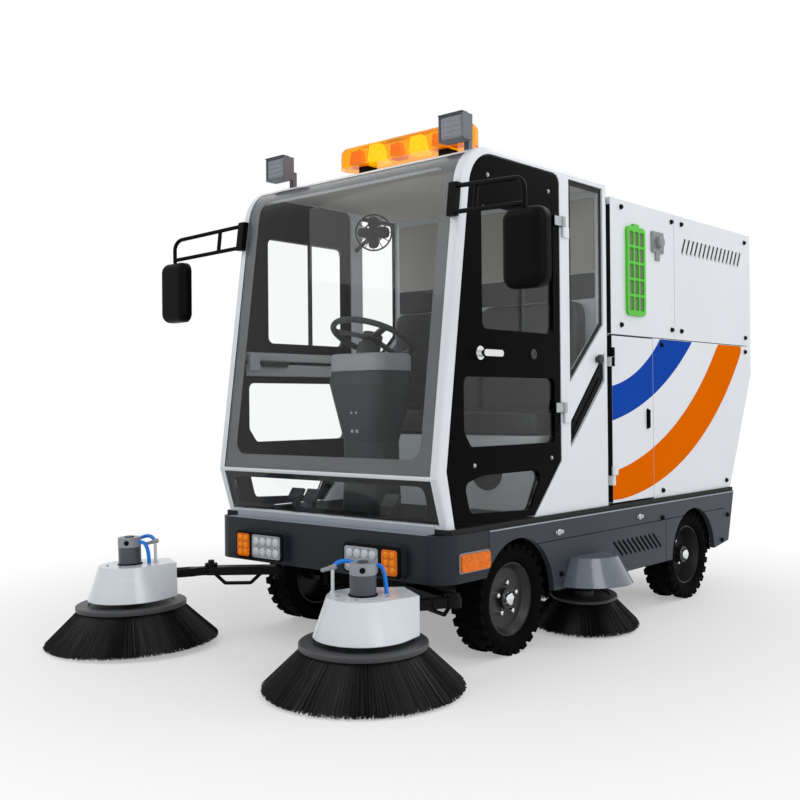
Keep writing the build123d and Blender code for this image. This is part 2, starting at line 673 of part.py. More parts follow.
with BuildPart() as side_skirts:
    with BuildSketch(flank(1, HALF_SKIRT)):
        with BuildLine():
            Polyline(
                (BUMPER_END - SEAM, DECK_BOTTOM),
                (BODY_FOOT_X, DECK_BOTTOM),
                SKIRT_REAR_FOOT,
                SKIRT_REAR_ARCH,
                (FRONT_AXLE_X, SKIRT_FOOT),
                (BUMPER_END - SEAM, SKIRT_FOOT),
                close=True,
            )
        make_face()
        with Locations((FRONT_AXLE_X, TYRE_R)):
            Circle(ARCH_R, mode=Mode.SUBTRACT)
        with Locations((REAR_AXLE_X, TYRE_R)):
            Circle(REAR_ARCH_R, mode=Mode.SUBTRACT)
        for i in range(SLOT_COUNT):
            with Locations(Location((SLOT_FIRST_X + i * SLOT_PITCH, SLOT_Z), SLOT_LEAN)):
                SlotOverall(SLOT_LENGTH, SLOT_WIDTH, mode=Mode.SUBTRACT)
    extrude(amount=SKIRT_WALL)
    with BuildSketch(flank(1, HALF_SKIRT)):
        with Locations(((BODY_FOOT_X + FRONT_AXLE_X) / 2, GROOVE_Z)):
            Rectangle(FRONT_AXLE_X - BODY_FOOT_X - ARCH_R, GROOVE)
        with Locations((GROOVE_X, (GROOVE_Z + SKIRT_FOOT) / 2)):
            Rectangle(GROOVE, GROOVE_Z - SKIRT_FOOT)
    extrude(amount=GROOVE_DEPTH, mode=Mode.SUBTRACT)
    add(mid_hood.part)
    mirror(about=Plane.XZ)
save(side_skirts.part, "side_skirts")

# Rear tow eye on the last cross member

TOW_Z = 440
TOW_THICK = 16
TOW_WIDTH = 80
TOW_X = -1510
TOW_BORE_R = 13
TOW_ROOT = RAIL_REAR

with BuildPart() as tow_eye:
    with BuildSketch(Plane.XY.offset(TOW_Z)):
        with Locations((TOW_X, 0)):
            Circle(TOW_WIDTH / 2)
        with Locations(((TOW_X + TOW_ROOT) / 2, 0)):
            Rectangle(TOW_ROOT - TOW_X, TOW_WIDTH)
        with Locations((TOW_X, 0)):
            Circle(TOW_BORE_R, mode=Mode.SUBTRACT)
    extrude(amount=TOW_THICK)
save(tow_eye.part, "tow_eye")

# Cab frame: side frames with door and quarter window openings, joined by bars across the front

DOOR_GAP = 6
DOOR_REAR = 227
DOOR_TOP = 2005
DOOR_FOOT = 556
DOOR_FRONT_KINK = (1009, 767)
DOOR_FRONT_FOOT_X = 964
DOOR_FRONT_TOP_X = 837
DOOR_CUT_X = 434
DOOR_CUT_Z = 775
DOOR_FRONT_R = 150
DOOR_REAR_R = 40
QUARTER = [(148, 2003), (-140, 2003), (-138, 1379), (148, 1112)]
RECESS = [(146, 942), (-147, 1256), (-147, 1121), (146, 825)]
RECESS_DEPTH = 14
SILL_TOP = 564
BAR_FOOT = 733
BAR_TOP = 750
BAR_DEPTH = 36
BAR_SINK = 1
NOSE_X = CAB_FOOT[0] - 2 * BAR_DEPTH
NOSE_END = CAB_KINK[0] + BAR_DEPTH
GLASS = 8
HEADER_X = 845
HEADER_Z = 1962
HEADER_R = 12
HINGE_X = 205
HINGE_STAND = 11
HINGE_Y = HALF_CAB + HINGE_STAND
HINGE_R = 9
HINGE_PIN_R = 5
HINGE_HEIGHT = 44
HINGE_LEAF = 8
HINGE_REACH = 48
HINGE_PLAY = 1
LEAF_HEIGHT = HINGE_HEIGHT - HINGE_PLAY
DOOR_LEAF = 68
DOOR_HINGES = [936, 1740]


def door_outline(gap):
    """Outline of a cab door, grown by a gap."""
    with BuildSketch() as outline:
        with BuildLine():
            Polyline(
                (DOOR_FRONT_FOOT_X, DOOR_FOOT),
                DOOR_FRONT_KINK,
                (DOOR_FRONT_TOP_X, DOOR_TOP),
                (DOOR_REAR, DOOR_TOP),
                (DOOR_REAR, DOOR_CUT_Z),
                (DOOR_CUT_X, DOOR_FOOT),
                close=True,
            )
        make_face()
        top = outline.vertices().group_by(Axis.Y)[-1].sort_by(Axis.X)
        fillet(top[-1], radius=DOOR_FRONT_R)
        top = outline.vertices().group_by(Axis.Y)[-1].sort_by(Axis.X)
        fillet(top[0], radius=DOOR_REAR_R)
        if gap:
            offset(amount=gap, kind=Kind.INTERSECTION)
    return outline.sketch


def cab_outline():
    """Side profile of the cab."""
    with BuildSketch() as outline:
        with BuildLine():
            Polyline(
                CAB_FOOT,
                CAB_KINK,
                (SCREEN_TOP_X, ROOF_Z),
                (CAB_REAR, ROOF_Z),
                (CAB_REAR, DECK_TOP),
                close=True,
            )
        make_face()
        fillet(outline.vertices().group_by(Axis.Y)[-1].sort_by(Axis.X)[-1], radius=ROOF_CORNER_R)
    return outline.sketch


def cab_skin(thick, low, high):
    """The part of the cab's skin, seen from the side, that lies in the rectangle from low to high."""
    with BuildSketch() as skin:
        add(cab_outline())
        offset(amount=-thick, mode=Mode.SUBTRACT)
        with Locations(low):
            Rectangle(high[0] - low[0], high[1] - low[1], align=(Align.MIN, Align.MIN), mode=Mode.INTERSECT)
    return skin.sketch


with BuildPart() as cab_frame:
    with BuildSketch(flank(1, HALF_CAB)):
        add(cab_outline())
    extrude(amount=FRAME_DEPTH)
    outer = faces().sort_by(Axis.Y)[-1].edges().filter_by(lambda edge: edge.center().Z > SILL_TOP)
    fillet(outer.filter_by(lambda edge: edge.center().X > CAB_REAR), radius=FRAME_ROUND)
    with BuildSketch(flank(1, HALF_CAB)):
        add(door_outline(DOOR_GAP))
    extrude(amount=FRAME_DEPTH, mode=Mode.SUBTRACT)
    with BuildSketch(flank(1, HALF_CAB)):
        with BuildLine():
            Polyline(*QUARTER, close=True)
        make_face()
        with Locations((DOOR_CUT_X, DECK_TOP)):
            Rectangle(DOOR_FRONT_FOOT_X - DOOR_CUT_X, 2 * DOOR_GAP, align=(Align.MIN, Align.CENTER))
    extrude(amount=FRAME_DEPTH, mode=Mode.SUBTRACT)
    with BuildSketch(flank(1, HALF_CAB)):
        with BuildLine():
            Polyline(*RECESS, close=True)
        make_face()
    extrude(amount=RECESS_DEPTH, mode=Mode.SUBTRACT)
    for hinge_z in DOOR_HINGES:
        with Locations((HINGE_X, HINGE_Y, hinge_z)):
            Cylinder(HINGE_R, HINGE_HEIGHT, align=LOW)
            Cylinder(HINGE_PIN_R, 2 * HINGE_HEIGHT, align=LOW)
        with Locations((HINGE_X, HALF_CAB, hinge_z)):
            Box(HINGE_REACH, HINGE_LEAF, HINGE_HEIGHT, align=(Align.MAX, Align.MIN, Align.MIN))
    mirror(about=Plane.XZ)
    for foot, top in [(DECK_TOP, SILL_TOP), (BAR_FOOT, BAR_TOP)]:
        with BuildSketch(Plane.XZ):
            add(cab_skin(BAR_DEPTH, (NOSE_X, foot), (NOSE_END, top)))
        extrude(amount=CAB_INNER + BAR_SINK, both=True)
    with Locations(Location((HEADER_X, 0, HEADER_Z), (90, 0, 0))):
        Cylinder(HEADER_R, 2 * (CAB_INNER + BAR_SINK))
save(cab_frame.part, "cab_frame")

# Cab skin: windscreen bent into the roof, lower front window, roof, rear wall, quarter windows

GLASS_END_X = 830
ROOF_SIDE_FALL = 75

with BuildPart() as cab_glass:
    with BuildSketch(Plane.XZ):
        add(cab_skin(GLASS, (GLASS_END_X, BAR_TOP), (NOSE_END, ROOF_Z)))
    extrude(amount=CAB_INNER, both=True)
    with BuildSketch(Plane.XZ):
        add(cab_skin(GLASS, (NOSE_X, SILL_TOP), (NOSE_END, BAR_FOOT)))
    extrude(amount=CAB_INNER, both=True)
    for name, sign in SIDES:
        with BuildSketch(flank(sign, HALF_CAB - GLASS)):
            with BuildLine():
                Polyline(*QUARTER, close=True)
            make_face()
        extrude(amount=sign * GLASS)
save(cab_glass.part, "cab_glass")

with BuildPart() as cab_roof:
    with BuildSketch(Plane.XZ):
        add(cab_skin(PANEL, (CAB_REAR + PANEL, ROOF_Z - ROOF_SIDE_FALL), (GLASS_END_X, ROOF_Z)))
    extrude(amount=CAB_INNER, both=True)
save(cab_roof.part, "cab_roof")

with BuildPart() as cab_rear_wall:
    with Locations((CAB_REAR, 0, DECK_TOP)):
        Box(PANEL, 2 * CAB_INNER, ROOF_Z - DECK_TOP, align=(Align.MIN, Align.CENTER, Align.MIN))
save(cab_rear_wall.part, "cab_rear_wall")

# Cab doors: black panel with three windows, panes and a bar handle, hinged on the rear pillar

UPPER_WINDOW = [(784, 1317), (784, 1810), (277, 1810), (277, 1317)]
MIDDLE_WINDOW = [(860, 854), (905, 915), (905, 1128), (271, 1128), (271, 854)]
LOWER_WINDOW = [(905, 715), (783, 742), (370, 742), (463, 580), (872, 600)]
WINDOW_R = 30
SLIDER_X = 494
PANE = 6
PANE_INSET = 10
PANE_SLIT = 2
HANDLE_X = 812
HANDLE_Z = 1220
ROSE_R = 27
ROSE_THICK = 12
LEVER_STEM_R = 11
LEVER_STAND = 30
LEVER_LENGTH = 128
LEVER_HEIGHT = 26
LEVER_THICK = 10


def window_outline(points):
    """One window with rounded corners."""
    with BuildSketch() as window:
        with BuildLine():
            Polyline(*points, close=True)
        make_face()
        fillet(window.vertices(), radius=WINDOW_R)
    return window.sketch


for name, sign in SIDES:
    door_face = flank(sign, HALF_CAB)
    with BuildPart() as cab_door:
        with BuildSketch(door_face):
            add(door_outline(0))
        extrude(amount=sign * PANEL)
        for points in (UPPER_WINDOW, MIDDLE_WINDOW, LOWER_WINDOW):
            with BuildSketch(door_face):
                add(window_outline(points))
            extrude(amount=sign * PANEL, mode=Mode.SUBTRACT)
        for hinge_z in DOOR_HINGES:
            with Locations((HINGE_X, sign * HINGE_Y, hinge_z + HINGE_HEIGHT + HINGE_PLAY)):
                Cylinder(HINGE_R, LEAF_HEIGHT, align=LOW)
            leaf_side = Align.MIN if sign > 0 else Align.MAX
            with Locations((HINGE_X, sign * HALF_CAB, hinge_z + HINGE_HEIGHT + HINGE_PLAY)):
                Box(DOOR_LEAF, HINGE_LEAF, LEAF_HEIGHT, align=(Align.MIN, leaf_side, Align.MIN))
            with Locations((HINGE_X, sign * HINGE_Y, hinge_z)):
                Cylinder(HINGE_PIN_R + FIT, 3 * HINGE_HEIGHT, align=LOW, mode=Mode.SUBTRACT)
    save(cab_door.part, f"cab_door_{name}")

    with BuildPart() as door_panes:
        with BuildSketch(flank(sign, HALF_CAB - PANE_INSET)):
            add(window_outline(UPPER_WINDOW))
            with Locations((SLIDER_X, HANDLE_Z)):
                Rectangle(PANE_SLIT, ROOF_Z, mode=Mode.SUBTRACT)
        extrude(amount=sign * PANE)
        for points in (MIDDLE_WINDOW, LOWER_WINDOW):
            with BuildSketch(flank(sign, HALF_CAB - PANE_INSET)):
                add(window_outline(points))
            extrude(amount=sign * PANE)
    save(door_panes.part, f"door_panes_{name}")

    with BuildPart() as door_handle:
        with BuildSketch(door_face):
            with Locations((HANDLE_X, HANDLE_Z)):
                Circle(ROSE_R)
        extrude(amount=-sign * ROSE_THICK)
        with BuildSketch(door_face):
            with Locations((HANDLE_X, HANDLE_Z)):
                Circle(LEVER_STEM_R)
        extrude(amount=-sign * (LEVER_STAND + LEVER_THICK))
        with BuildSketch(flank(sign, HALF_CAB + LEVER_STAND)):
            with Locations((HANDLE_X - LEVER_LENGTH / 2 + LEVER_HEIGHT / 2, HANDLE_Z)):
                SlotOverall(LEVER_LENGTH, LEVER_HEIGHT)
        extrude(amount=-sign * LEVER_THICK)
    save(door_handle.part, f"door_handle_{name}")

# Inside the cab: pedestal, steering wheel, pedals, bench and fan

PEDESTAL_X = 735
PEDESTAL_CORNER_R = 60
# height, length and width of each section of the pedestal
PEDESTAL = [(DECK_TOP, 200, 230), (860, 190, 215), (1110, 250, 330), (1235, 220, 300)]
STEER_TILT = 24
STEER_CENTRE = (725, 0, 1313)
STEER_R = 176
STEER_GRIP_R = 13
STEER_HUB_R = 45
SHAFT_END_GAP = 5
STEER_SHAFT_R = 16
STEER_SHAFT = 140
COLUMN_R = 50
COLUMN_GAP = 38

PEDAL_X = 890
PEDAL_Y = [-315, -215, 250]
PEDAL_PAD = (14, 76, 60)
PEDAL_ARM = 14
PEDAL_HEIGHT = 80
PEDAL_LEAN = -35

steer_plane = Plane(
    origin=STEER_CENTRE,
    x_dir=(cos(radians(STEER_TILT)), 0, sin(radians(STEER_TILT))),
    z_dir=(-sin(radians(STEER_TILT)), 0, cos(radians(STEER_TILT))),
)

with BuildPart() as steering_pedestal:
    for z, length, width in PEDESTAL:
        with BuildSketch(Plane.XY.offset(z)):
            with Locations((PEDESTAL_X, 0)):
                RectangleRounded(length, width, PEDESTAL_CORNER_R)
    loft(ruled=True)
    with BuildSketch(steer_plane.offset(-STEER_SHAFT)):
        Circle(COLUMN_R)
    extrude(amount=STEER_SHAFT - COLUMN_GAP)
    with BuildSketch(steer_plane.offset(-STEER_SHAFT - SHAFT_END_GAP)):
        Circle(STEER_SHAFT_R + FIT)
    extrude(amount=STEER_SHAFT + SHAFT_END_GAP, mode=Mode.SUBTRACT)
    for y in PEDAL_Y:
        with Locations((PEDAL_X, y, DECK_TOP)):
            Box(PEDAL_ARM * 2, PEDAL_ARM * 2, PEDAL_HEIGHT, align=LOW)
        with Locations(Location((PEDAL_X, y, DECK_TOP + PEDAL_HEIGHT), (0, PEDAL_LEAN, 0))):
            Box(*PEDAL_PAD)
save(steering_pedestal.part, "steering_pedestal")

with BuildPart() as steering_wheel:
    with BuildSketch(Plane(STEER_CENTRE, x_dir=steer_plane.x_dir, z_dir=-steer_plane.y_dir)):
        with Locations((STEER_R, 0)):
            Circle(STEER_GRIP_R)
    revolve(axis=Axis(STEER_CENTRE, steer_plane.z_dir))
    with BuildSketch(steer_plane.offset(-STEER_GRIP_R)):
        Circle(STEER_HUB_R)
    extrude(amount=2 * STEER_GRIP_R)
    with BuildSketch(steer_plane.offset(-STEER_GRIP_R / 2)):
        with PolarLocations(STEER_R / 2, 3, start_angle=60):
            Rectangle(STEER_R, 2 * STEER_GRIP_R)
    extrude(amount=STEER_GRIP_R)
    with BuildSketch(steer_plane.offset(-STEER_SHAFT)):
        Circle(STEER_SHAFT_R)
    extrude(amount=STEER_SHAFT)
save(steering_wheel.part, "steering_wheel")

SEAT_GAP = 41
SEAT_HALF = CAB_INNER - SEAT_GAP
SEAT_FRONT = 305
SEAT_BASE_TOP = 880
CUSHION_TOP = 1000
BACK_TOP = 1500
BACK_THICK = 110
PAD_ROUND = 28
PAD_GAP = 2
CAB_WALL_FACE = CAB_REAR + PANEL

with BuildPart() as seat_base:
    with Locations((CAB_WALL_FACE, 0, DECK_TOP)):
        Box(
            SEAT_FRONT - CAB_WALL_FACE,
            2 * SEAT_HALF,
            SEAT_BASE_TOP - DECK_TOP,
            align=(Align.MIN, Align.CENTER, Align.MIN),
        )
save(seat_base.part, "seat_base")

with BuildPart() as bench_pads:
    with Locations((CAB_WALL_FACE + BACK_THICK + PAD_GAP, 0, SEAT_BASE_TOP)):
        Box(
            SEAT_FRONT - CAB_WALL_FACE - BACK_THICK,
            2 * SEAT_HALF,
            CUSHION_TOP - SEAT_BASE_TOP,
            align=(Align.MIN, Align.CENTER, Align.MIN),
        )
    with Locations((CAB_WALL_FACE, 0, SEAT_BASE_TOP)):
        Box(BACK_THICK, 2 * SEAT_HALF, BACK_TOP - SEAT_BASE_TOP, align=(Align.MIN, Align.CENTER, Align.MIN))
    crests = edges().filter_by(Axis.Y).filter_by(lambda edge: edge.center().Z > SEAT_BASE_TOP + SEAM)
    fillet(crests, radius=PAD_ROUND)
save(bench_pads.part, "bench_pads")

FAN_CENTRE = (385, -300, 1850)
FAN_YAW = 40
FAN_R = 90
FAN_DEPTH = 60
FAN_ROOT = (190, -CAB_INNER, 1816)
FAN_ARM_R = 10
FAN_WIRE_R = 4
FAN_SPOKES = 12
FAN_HUB_R = 30

with BuildPart() as cab_fan:
    fan_axis = Vector(cos(radians(FAN_YAW)), sin(radians(FAN_YAW)), 0)
    fan_across = Vector(-sin(radians(FAN_YAW)), cos(radians(FAN_YAW)), 0)
    fan_face = Plane(FAN_CENTRE, x_dir=fan_across, z_dir=fan_axis)
    for ring_r in (FAN_R - FAN_WIRE_R, FAN_R / 2):
        with BuildSketch(Plane(FAN_CENTRE, x_dir=fan_across, z_dir=(0, 0, 1))):
            with Locations((ring_r, 0)):
                Circle(FAN_WIRE_R)
        revolve(axis=Axis(FAN_CENTRE, fan_axis))
    with BuildSketch(fan_face.offset(-FAN_WIRE_R / 2)):
        with PolarLocations(FAN_R / 2, FAN_SPOKES):
            Rectangle(FAN_R - FAN_WIRE_R, FAN_WIRE_R)
    extrude(amount=FAN_WIRE_R)
    with BuildSketch(fan_face.offset(-FAN_DEPTH)):
        Circle(FAN_HUB_R)
    extrude(amount=FAN_DEPTH + FAN_WIRE_R)
    fan_line = Line(FAN_ROOT, Vector(*FAN_CENTRE) - fan_axis * (FAN_DEPTH / 2), mode=Mode.PRIVATE)
    with BuildSketch(Plane(FAN_ROOT, z_dir=fan_line % 0)):
        Circle(FAN_ARM_R)
    extrude(amount=fan_line.length)
    split(bisect_by=Plane.XZ.offset(CAB_INNER), keep=Keep.BOTTOM)
save(cab_fan.part, "cab_fan")

# Roof and mirrors

BEACON_X = 485
BEACON_HALF = 387
BEACON_DEPTH = 140
BEACON_FOOT = 2136
BEACON_HEIGHT = 100
BEACON_FOOT_Y = 240
BEACON_END_R = 66
BEACON_ROUND = 36
BEACON_FOOT_WIDTH = 50
WORK_X = 785
WORK_INSET = 121
WORK_Y = HALF_CAB - WORK_INSET
WORK_WIDTH = 124
WORK_HEIGHT = 104
WORK_DEPTH = 56
WORK_Z = 2120
WORK_FINS = 8
FIN_DEPTH = 18
WORK_POST = 24
WORK_FOOT_X = 705
MIRROR_X = 1025
MIRROR_OUT = 369
MIRROR_Y = HALF_CAB + MIRROR_OUT
MIRROR_Z = 1567
MIRROR_SIZE = (180, 284)
MIRROR_DEPTH = 58
MIRROR_CORNER_R = 44
MIRROR_ROUND = 34
ARM_TUBE_R = 9
CLAMP_FOOT = 1738
CLAMP_TOP = 1869
CLAMP_WIDTH = 38
CLAMP_DEPTH = 30
TUBE_INSET = 14
TUBE_BEND_R = 50
LOOP_CORNER_Z = 1815
LOOP_SEAT = 14
BRACE_SHARE = 0.33

with BuildPart() as beacon_bar:
    with BuildSketch(Plane.XY.offset(BEACON_FOOT)):
        with Locations((BEACON_X, 0)):
            RectangleRounded(BEACON_DEPTH, 2 * BEACON_HALF, BEACON_END_R)
    extrude(amount=BEACON_HEIGHT)
    fillet(faces().sort_by(Axis.Z)[-1].edges(), radius=BEACON_ROUND)
    with Locations((BEACON_X, BEACON_FOOT_Y, ROOF_Z), (BEACON_X, -BEACON_FOOT_Y, ROOF_Z)):
        Box(BEACON_DEPTH / 2, BEACON_FOOT_WIDTH, BEACON_FOOT - ROOF_Z + SEAM, align=LOW)
save(beacon_bar.part, "beacon_bar")

with BuildPart() as work_lamps:
    for name, sign in SIDES:
        with Locations((WORK_X, sign * WORK_Y, WORK_Z)):
            Box(WORK_DEPTH, WORK_WIDTH, WORK_HEIGHT)
        with Locations((WORK_X - WORK_DEPTH / 2, sign * WORK_Y, WORK_Z)):
            with GridLocations(0, WORK_WIDTH / WORK_FINS, 1, WORK_FINS):
                Box(2 * FIN_DEPTH, WORK_WIDTH / WORK_FINS / 2, WORK_HEIGHT, mode=Mode.SUBTRACT)
        with Locations((WORK_FOOT_X, sign * WORK_Y, ROOF_Z)):
            Box(WORK_POST, WORK_POST, WORK_Z - ROOF_Z, align=LOW)
        with Locations((WORK_FOOT_X, sign * WORK_Y, WORK_Z)):
            Box(WORK_X - WORK_FOOT_X, WORK_POST, WORK_POST, align=(Align.MIN, Align.CENTER, Align.MAX))
save(work_lamps.part, "work_lamps")

with BuildPart() as mirror_heads:
    with BuildSketch(Plane.YZ.offset(MIRROR_X)):
        with Locations((MIRROR_Y, MIRROR_Z)):
            RectangleRounded(*MIRROR_SIZE, MIRROR_CORNER_R)
    extrude(amount=MIRROR_DEPTH / 2, both=True)
    fillet(faces().sort_by(Axis.X)[-1].edges(), radius=MIRROR_ROUND)
    mirror(about=Plane.XZ)
save(mirror_heads.part, "mirror_heads")


def screen_x(z):
    """Front of the windscreen pillar at a height above the kink."""
    return CAB_KINK[0] + (SCREEN_TOP_X - CAB_KINK[0]) * (z - CAB_KINK[1]) / (ROOF_Z - CAB_KINK[1])


with BuildPart() as mirror_arms:
    with BuildSketch(flank(1, HALF_CAB)):
        with BuildLine():
            Polyline(
                (screen_x(CLAMP_FOOT), CLAMP_FOOT),
                (screen_x(CLAMP_FOOT) + CLAMP_DEPTH, CLAMP_FOOT),
                (screen_x(CLAMP_TOP) + CLAMP_DEPTH, CLAMP_TOP),
                (screen_x(CLAMP_TOP), CLAMP_TOP),
                close=True,
            )
        make_face()
    extrude(amount=CLAMP_WIDTH)
    tube_y = HALF_CAB - CLAMP_WIDTH / 2
    head_top = Vector(MIRROR_X, MIRROR_Y, MIRROR_Z + MIRROR_SIZE[1] / 2)
    upper = Vector(screen_x(CLAMP_TOP) + CLAMP_DEPTH / 2, tube_y, CLAMP_TOP - TUBE_INSET)
    lower = Vector(screen_x(CLAMP_FOOT) + CLAMP_DEPTH / 2, tube_y, CLAMP_FOOT + TUBE_INSET)
    corner = Vector(MIRROR_X, MIRROR_Y, LOOP_CORNER_Z)
    seat = head_top + Vector(0, 0, LOOP_SEAT)
    with BuildLine() as loop_path:
        FilletPolyline(upper, corner, head_top, radius=TUBE_BEND_R)
    with BuildSketch(Plane(loop_path.line @ 0, z_dir=loop_path.line % 0)):
        Circle(ARM_TUBE_R)
    sweep(path=loop_path.line)
    brace = upper + (corner - upper) * BRACE_SHARE
    brace_foot = lower + (seat - lower) * BRACE_SHARE
    for start, end in [(lower, seat), (brace, brace_foot)]:
        with BuildSketch(Plane(start, z_dir=end - start)):
            Circle(ARM_TUBE_R)
        extrude(amount=(end - start).length)
    mirror(about=Plane.XZ)
save(mirror_arms.part, "mirror_arms")

# Rear body: shell of front wall, roof and rear wall, bolted side panels, doors and hatch

HATCH_GAP = 10
HATCH_HINGE = (-1812, BODY_KINK_Z + 6)
HATCH_HINGE_Y = [-440, 360]
HATCH_STRAP = 16
HATCH_LEAF = 40
SERVICE_HINGE_X = -203
SERVICE_HINGES = [640, 1190]

with BuildPart() as body_shell:
    with BuildSketch(Plane.XZ):
        with BuildLine():
            Polyline(
                (BODY_FRONT, DECK_TOP),
                (BODY_FRONT, BODY_TOP),
                (BODY_REAR, BODY_TOP),
                (BODY_REAR, BODY_KINK_Z + HATCH_GAP),
                (BODY_REAR + PANEL, BODY_KINK_Z + HATCH_GAP),
                (BODY_REAR + PANEL, BODY_TOP - PANEL),
                (BODY_FRONT - PANEL, BODY_TOP - PANEL),
                (BODY_FRONT - PANEL, DECK_TOP),
                close=True,
            )
        make_face()
    extrude(amount=BODY_INNER, both=True)
    for name, sign in SIDES:
        for hinge_z in SERVICE_HINGES:
            with Locations((BODY_FRONT, sign * (HINGE_Y - HINGE_REACH), hinge_z)):
                Box(2 * HINGE_R, 2 * HINGE_REACH, HINGE_HEIGHT, align=(Align.MIN, Align.CENTER, Align.MIN))
            with Locations((SERVICE_HINGE_X, sign * HINGE_Y, hinge_z)):
                Cylinder(HINGE_R, HINGE_HEIGHT, align=LOW)
                Cylinder(HINGE_PIN_R, 2 * HINGE_HEIGHT, align=LOW)
    for y in HATCH_HINGE_Y:
        with Locations(Location((HATCH_HINGE[0], y, HATCH_HINGE[1]), (-90, 0, 0))):
            Cylinder(HINGE_R, HINGE_HEIGHT, align=LOW)
            Cylinder(HINGE_PIN_R, 2 * HINGE_HEIGHT, align=LOW)
        with Locations((BODY_REAR, y, HATCH_HINGE[1])):
            Box(HATCH_STRAP, HINGE_HEIGHT, HINGE_REACH, align=(Align.MAX, Align.MIN, Align.MIN))
save(body_shell.part, "body_shell")


def body_rear_x(z):
    """Rear edge of the body at a height: upright above the kink, slanted in below it."""
    slope = (BODY_FOOT_X - BODY_REAR) / (BODY_KINK_Z - DECK_TOP)
    return BODY_REAR + max(0, BODY_KINK_Z - z) * slope


HALF_SEAM = SEAM / 2
UPPER_FRONT = [
    (BODY_FRONT, SEAM_Z + HALF_SEAM),
    (BODY_FRONT, BODY_TOP),
    (UPPER_SEAM_X + HALF_SEAM, BODY_TOP),
    (UPPER_SEAM_X + HALF_SEAM, SEAM_Z + HALF_SEAM),
]
UPPER_REAR = [
    (UPPER_SEAM_X - HALF_SEAM, SEAM_Z + HALF_SEAM),
    (UPPER_SEAM_X - HALF_SEAM, BODY_TOP),
    (BODY_REAR, BODY_TOP),
    (BODY_REAR, SEAM_Z + HALF_SEAM),
]
LOWER_REAR = [
    (LOWER_SEAM_X - HALF_SEAM, DECK_TOP),
    (LOWER_SEAM_X - HALF_SEAM, SEAM_Z - HALF_SEAM),
    (BODY_REAR, SEAM_Z - HALF_SEAM),
    (BODY_REAR, BODY_KINK_Z),
    (BODY_FOOT_X, DECK_TOP),
]

with BuildPart() as body_panels:
    for points in (UPPER_FRONT, UPPER_REAR, LOWER_REAR):
        with BuildSketch(flank(1, HALF_CAB)):
            with BuildLine():
                Polyline(*points, close=True)
            make_face()
        extrude(amount=PANEL)
    mirror(about=Plane.XZ)
save(body_panels.part, "body_panels")

SERVICE_FOOT = 556

for name, sign in SIDES:
    with BuildPart() as service_door:
        with BuildSketch(flank(sign, HALF_CAB)):
            with Locations((BODY_FRONT - SEAM, SERVICE_FOOT)):
                Rectangle(
                    BODY_FRONT - SEAM - LOWER_SEAM_X - HALF_SEAM,
                    SEAM_Z - HALF_SEAM - SEAM - SERVICE_FOOT,
                    align=(Align.MAX, Align.MIN),
                )
        extrude(amount=sign * PANEL)
        leaf_side = Align.MIN if sign > 0 else Align.MAX
        for hinge_z in SERVICE_HINGES:
            with Locations((SERVICE_HINGE_X, sign * HINGE_Y, hinge_z + HINGE_HEIGHT + HINGE_PLAY)):
                Cylinder(HINGE_R, LEAF_HEIGHT, align=LOW)
            with Locations((SERVICE_HINGE_X, sign * HALF_CAB, hinge_z + HINGE_HEIGHT + HINGE_PLAY)):
                Box(HINGE_REACH, HINGE_LEAF, LEAF_HEIGHT, align=(Align.MAX, leaf_side, Align.MIN))
            with Locations((SERVICE_HINGE_X, sign * HINGE_Y, hinge_z)):
                Cylinder(HINGE_PIN_R + FIT, 3 * HINGE_HEIGHT, align=LOW, mode=Mode.SUBTRACT)
    save(service_door.part, f"service_door_{name}")

HATCH_SIDE_GAP = 6
HATCH_HALF = BODY_INNER - HATCH_SIDE_GAP
HATCH_FOOT = 560

with BuildPart() as rear_hatch:
    with BuildSketch(Plane.XZ):
        with BuildLine():
            Polyline(
                (BODY_REAR, BODY_KINK_Z),
                (body_rear_x(HATCH_FOOT), HATCH_FOOT),
                (body_rear_x(HATCH_FOOT) + PANEL, HATCH_FOOT),
                (BODY_REAR + PANEL, BODY_KINK_Z),
                close=True,
            )
        make_face()
    extrude(amount=HATCH_HALF, both=True)
    for y in HATCH_HINGE_Y:
        leaf_y = y + HINGE_HEIGHT + HINGE_PLAY
        with Locations((HATCH_HINGE[0], leaf_y, HATCH_HINGE[1])):
            Box(HATCH_LEAF, LEAF_HEIGHT, HATCH_LEAF, align=(Align.MIN, Align.MIN, Align.MAX))
        with Locations(Location((HATCH_HINGE[0], leaf_y, HATCH_HINGE[1]), (-90, 0, 0))):
            Cylinder(HINGE_R, LEAF_HEIGHT, align=LOW)
        with Locations(Location((HATCH_HINGE[0], y, HATCH_HINGE[1]), (-90, 0, 0))):
            Cylinder(HINGE_PIN_R + FIT, 3 * HINGE_HEIGHT, align=LOW, mode=Mode.SUBTRACT)
save(rear_hatch.part, "rear_hatch")

# Filter grilles on the upper front panels, and the isolator switch on the left one

GRILLE_X = -436
GRILLE_Z = 1650
GRILLE_SIZE = (176, 425)
GRILLE_THICK = 14
GRILLE_CORNER_R = 24
GRILLE_TAB = (52, 26)
CELL_CORNER_R = 8
CELL = (40, 66)
CELL_PITCH = (50, 78)
SWITCH_X = -664
SWITCH_Z = 1815
SWITCH_SIZE = (125, 104)
SWITCH_THICK = 34
SWITCH_PLATE = 8
SWITCH_KNOB_R = 30
SWITCH_TAIL = (40, 38)
SWITCH_CORNER_R = 10

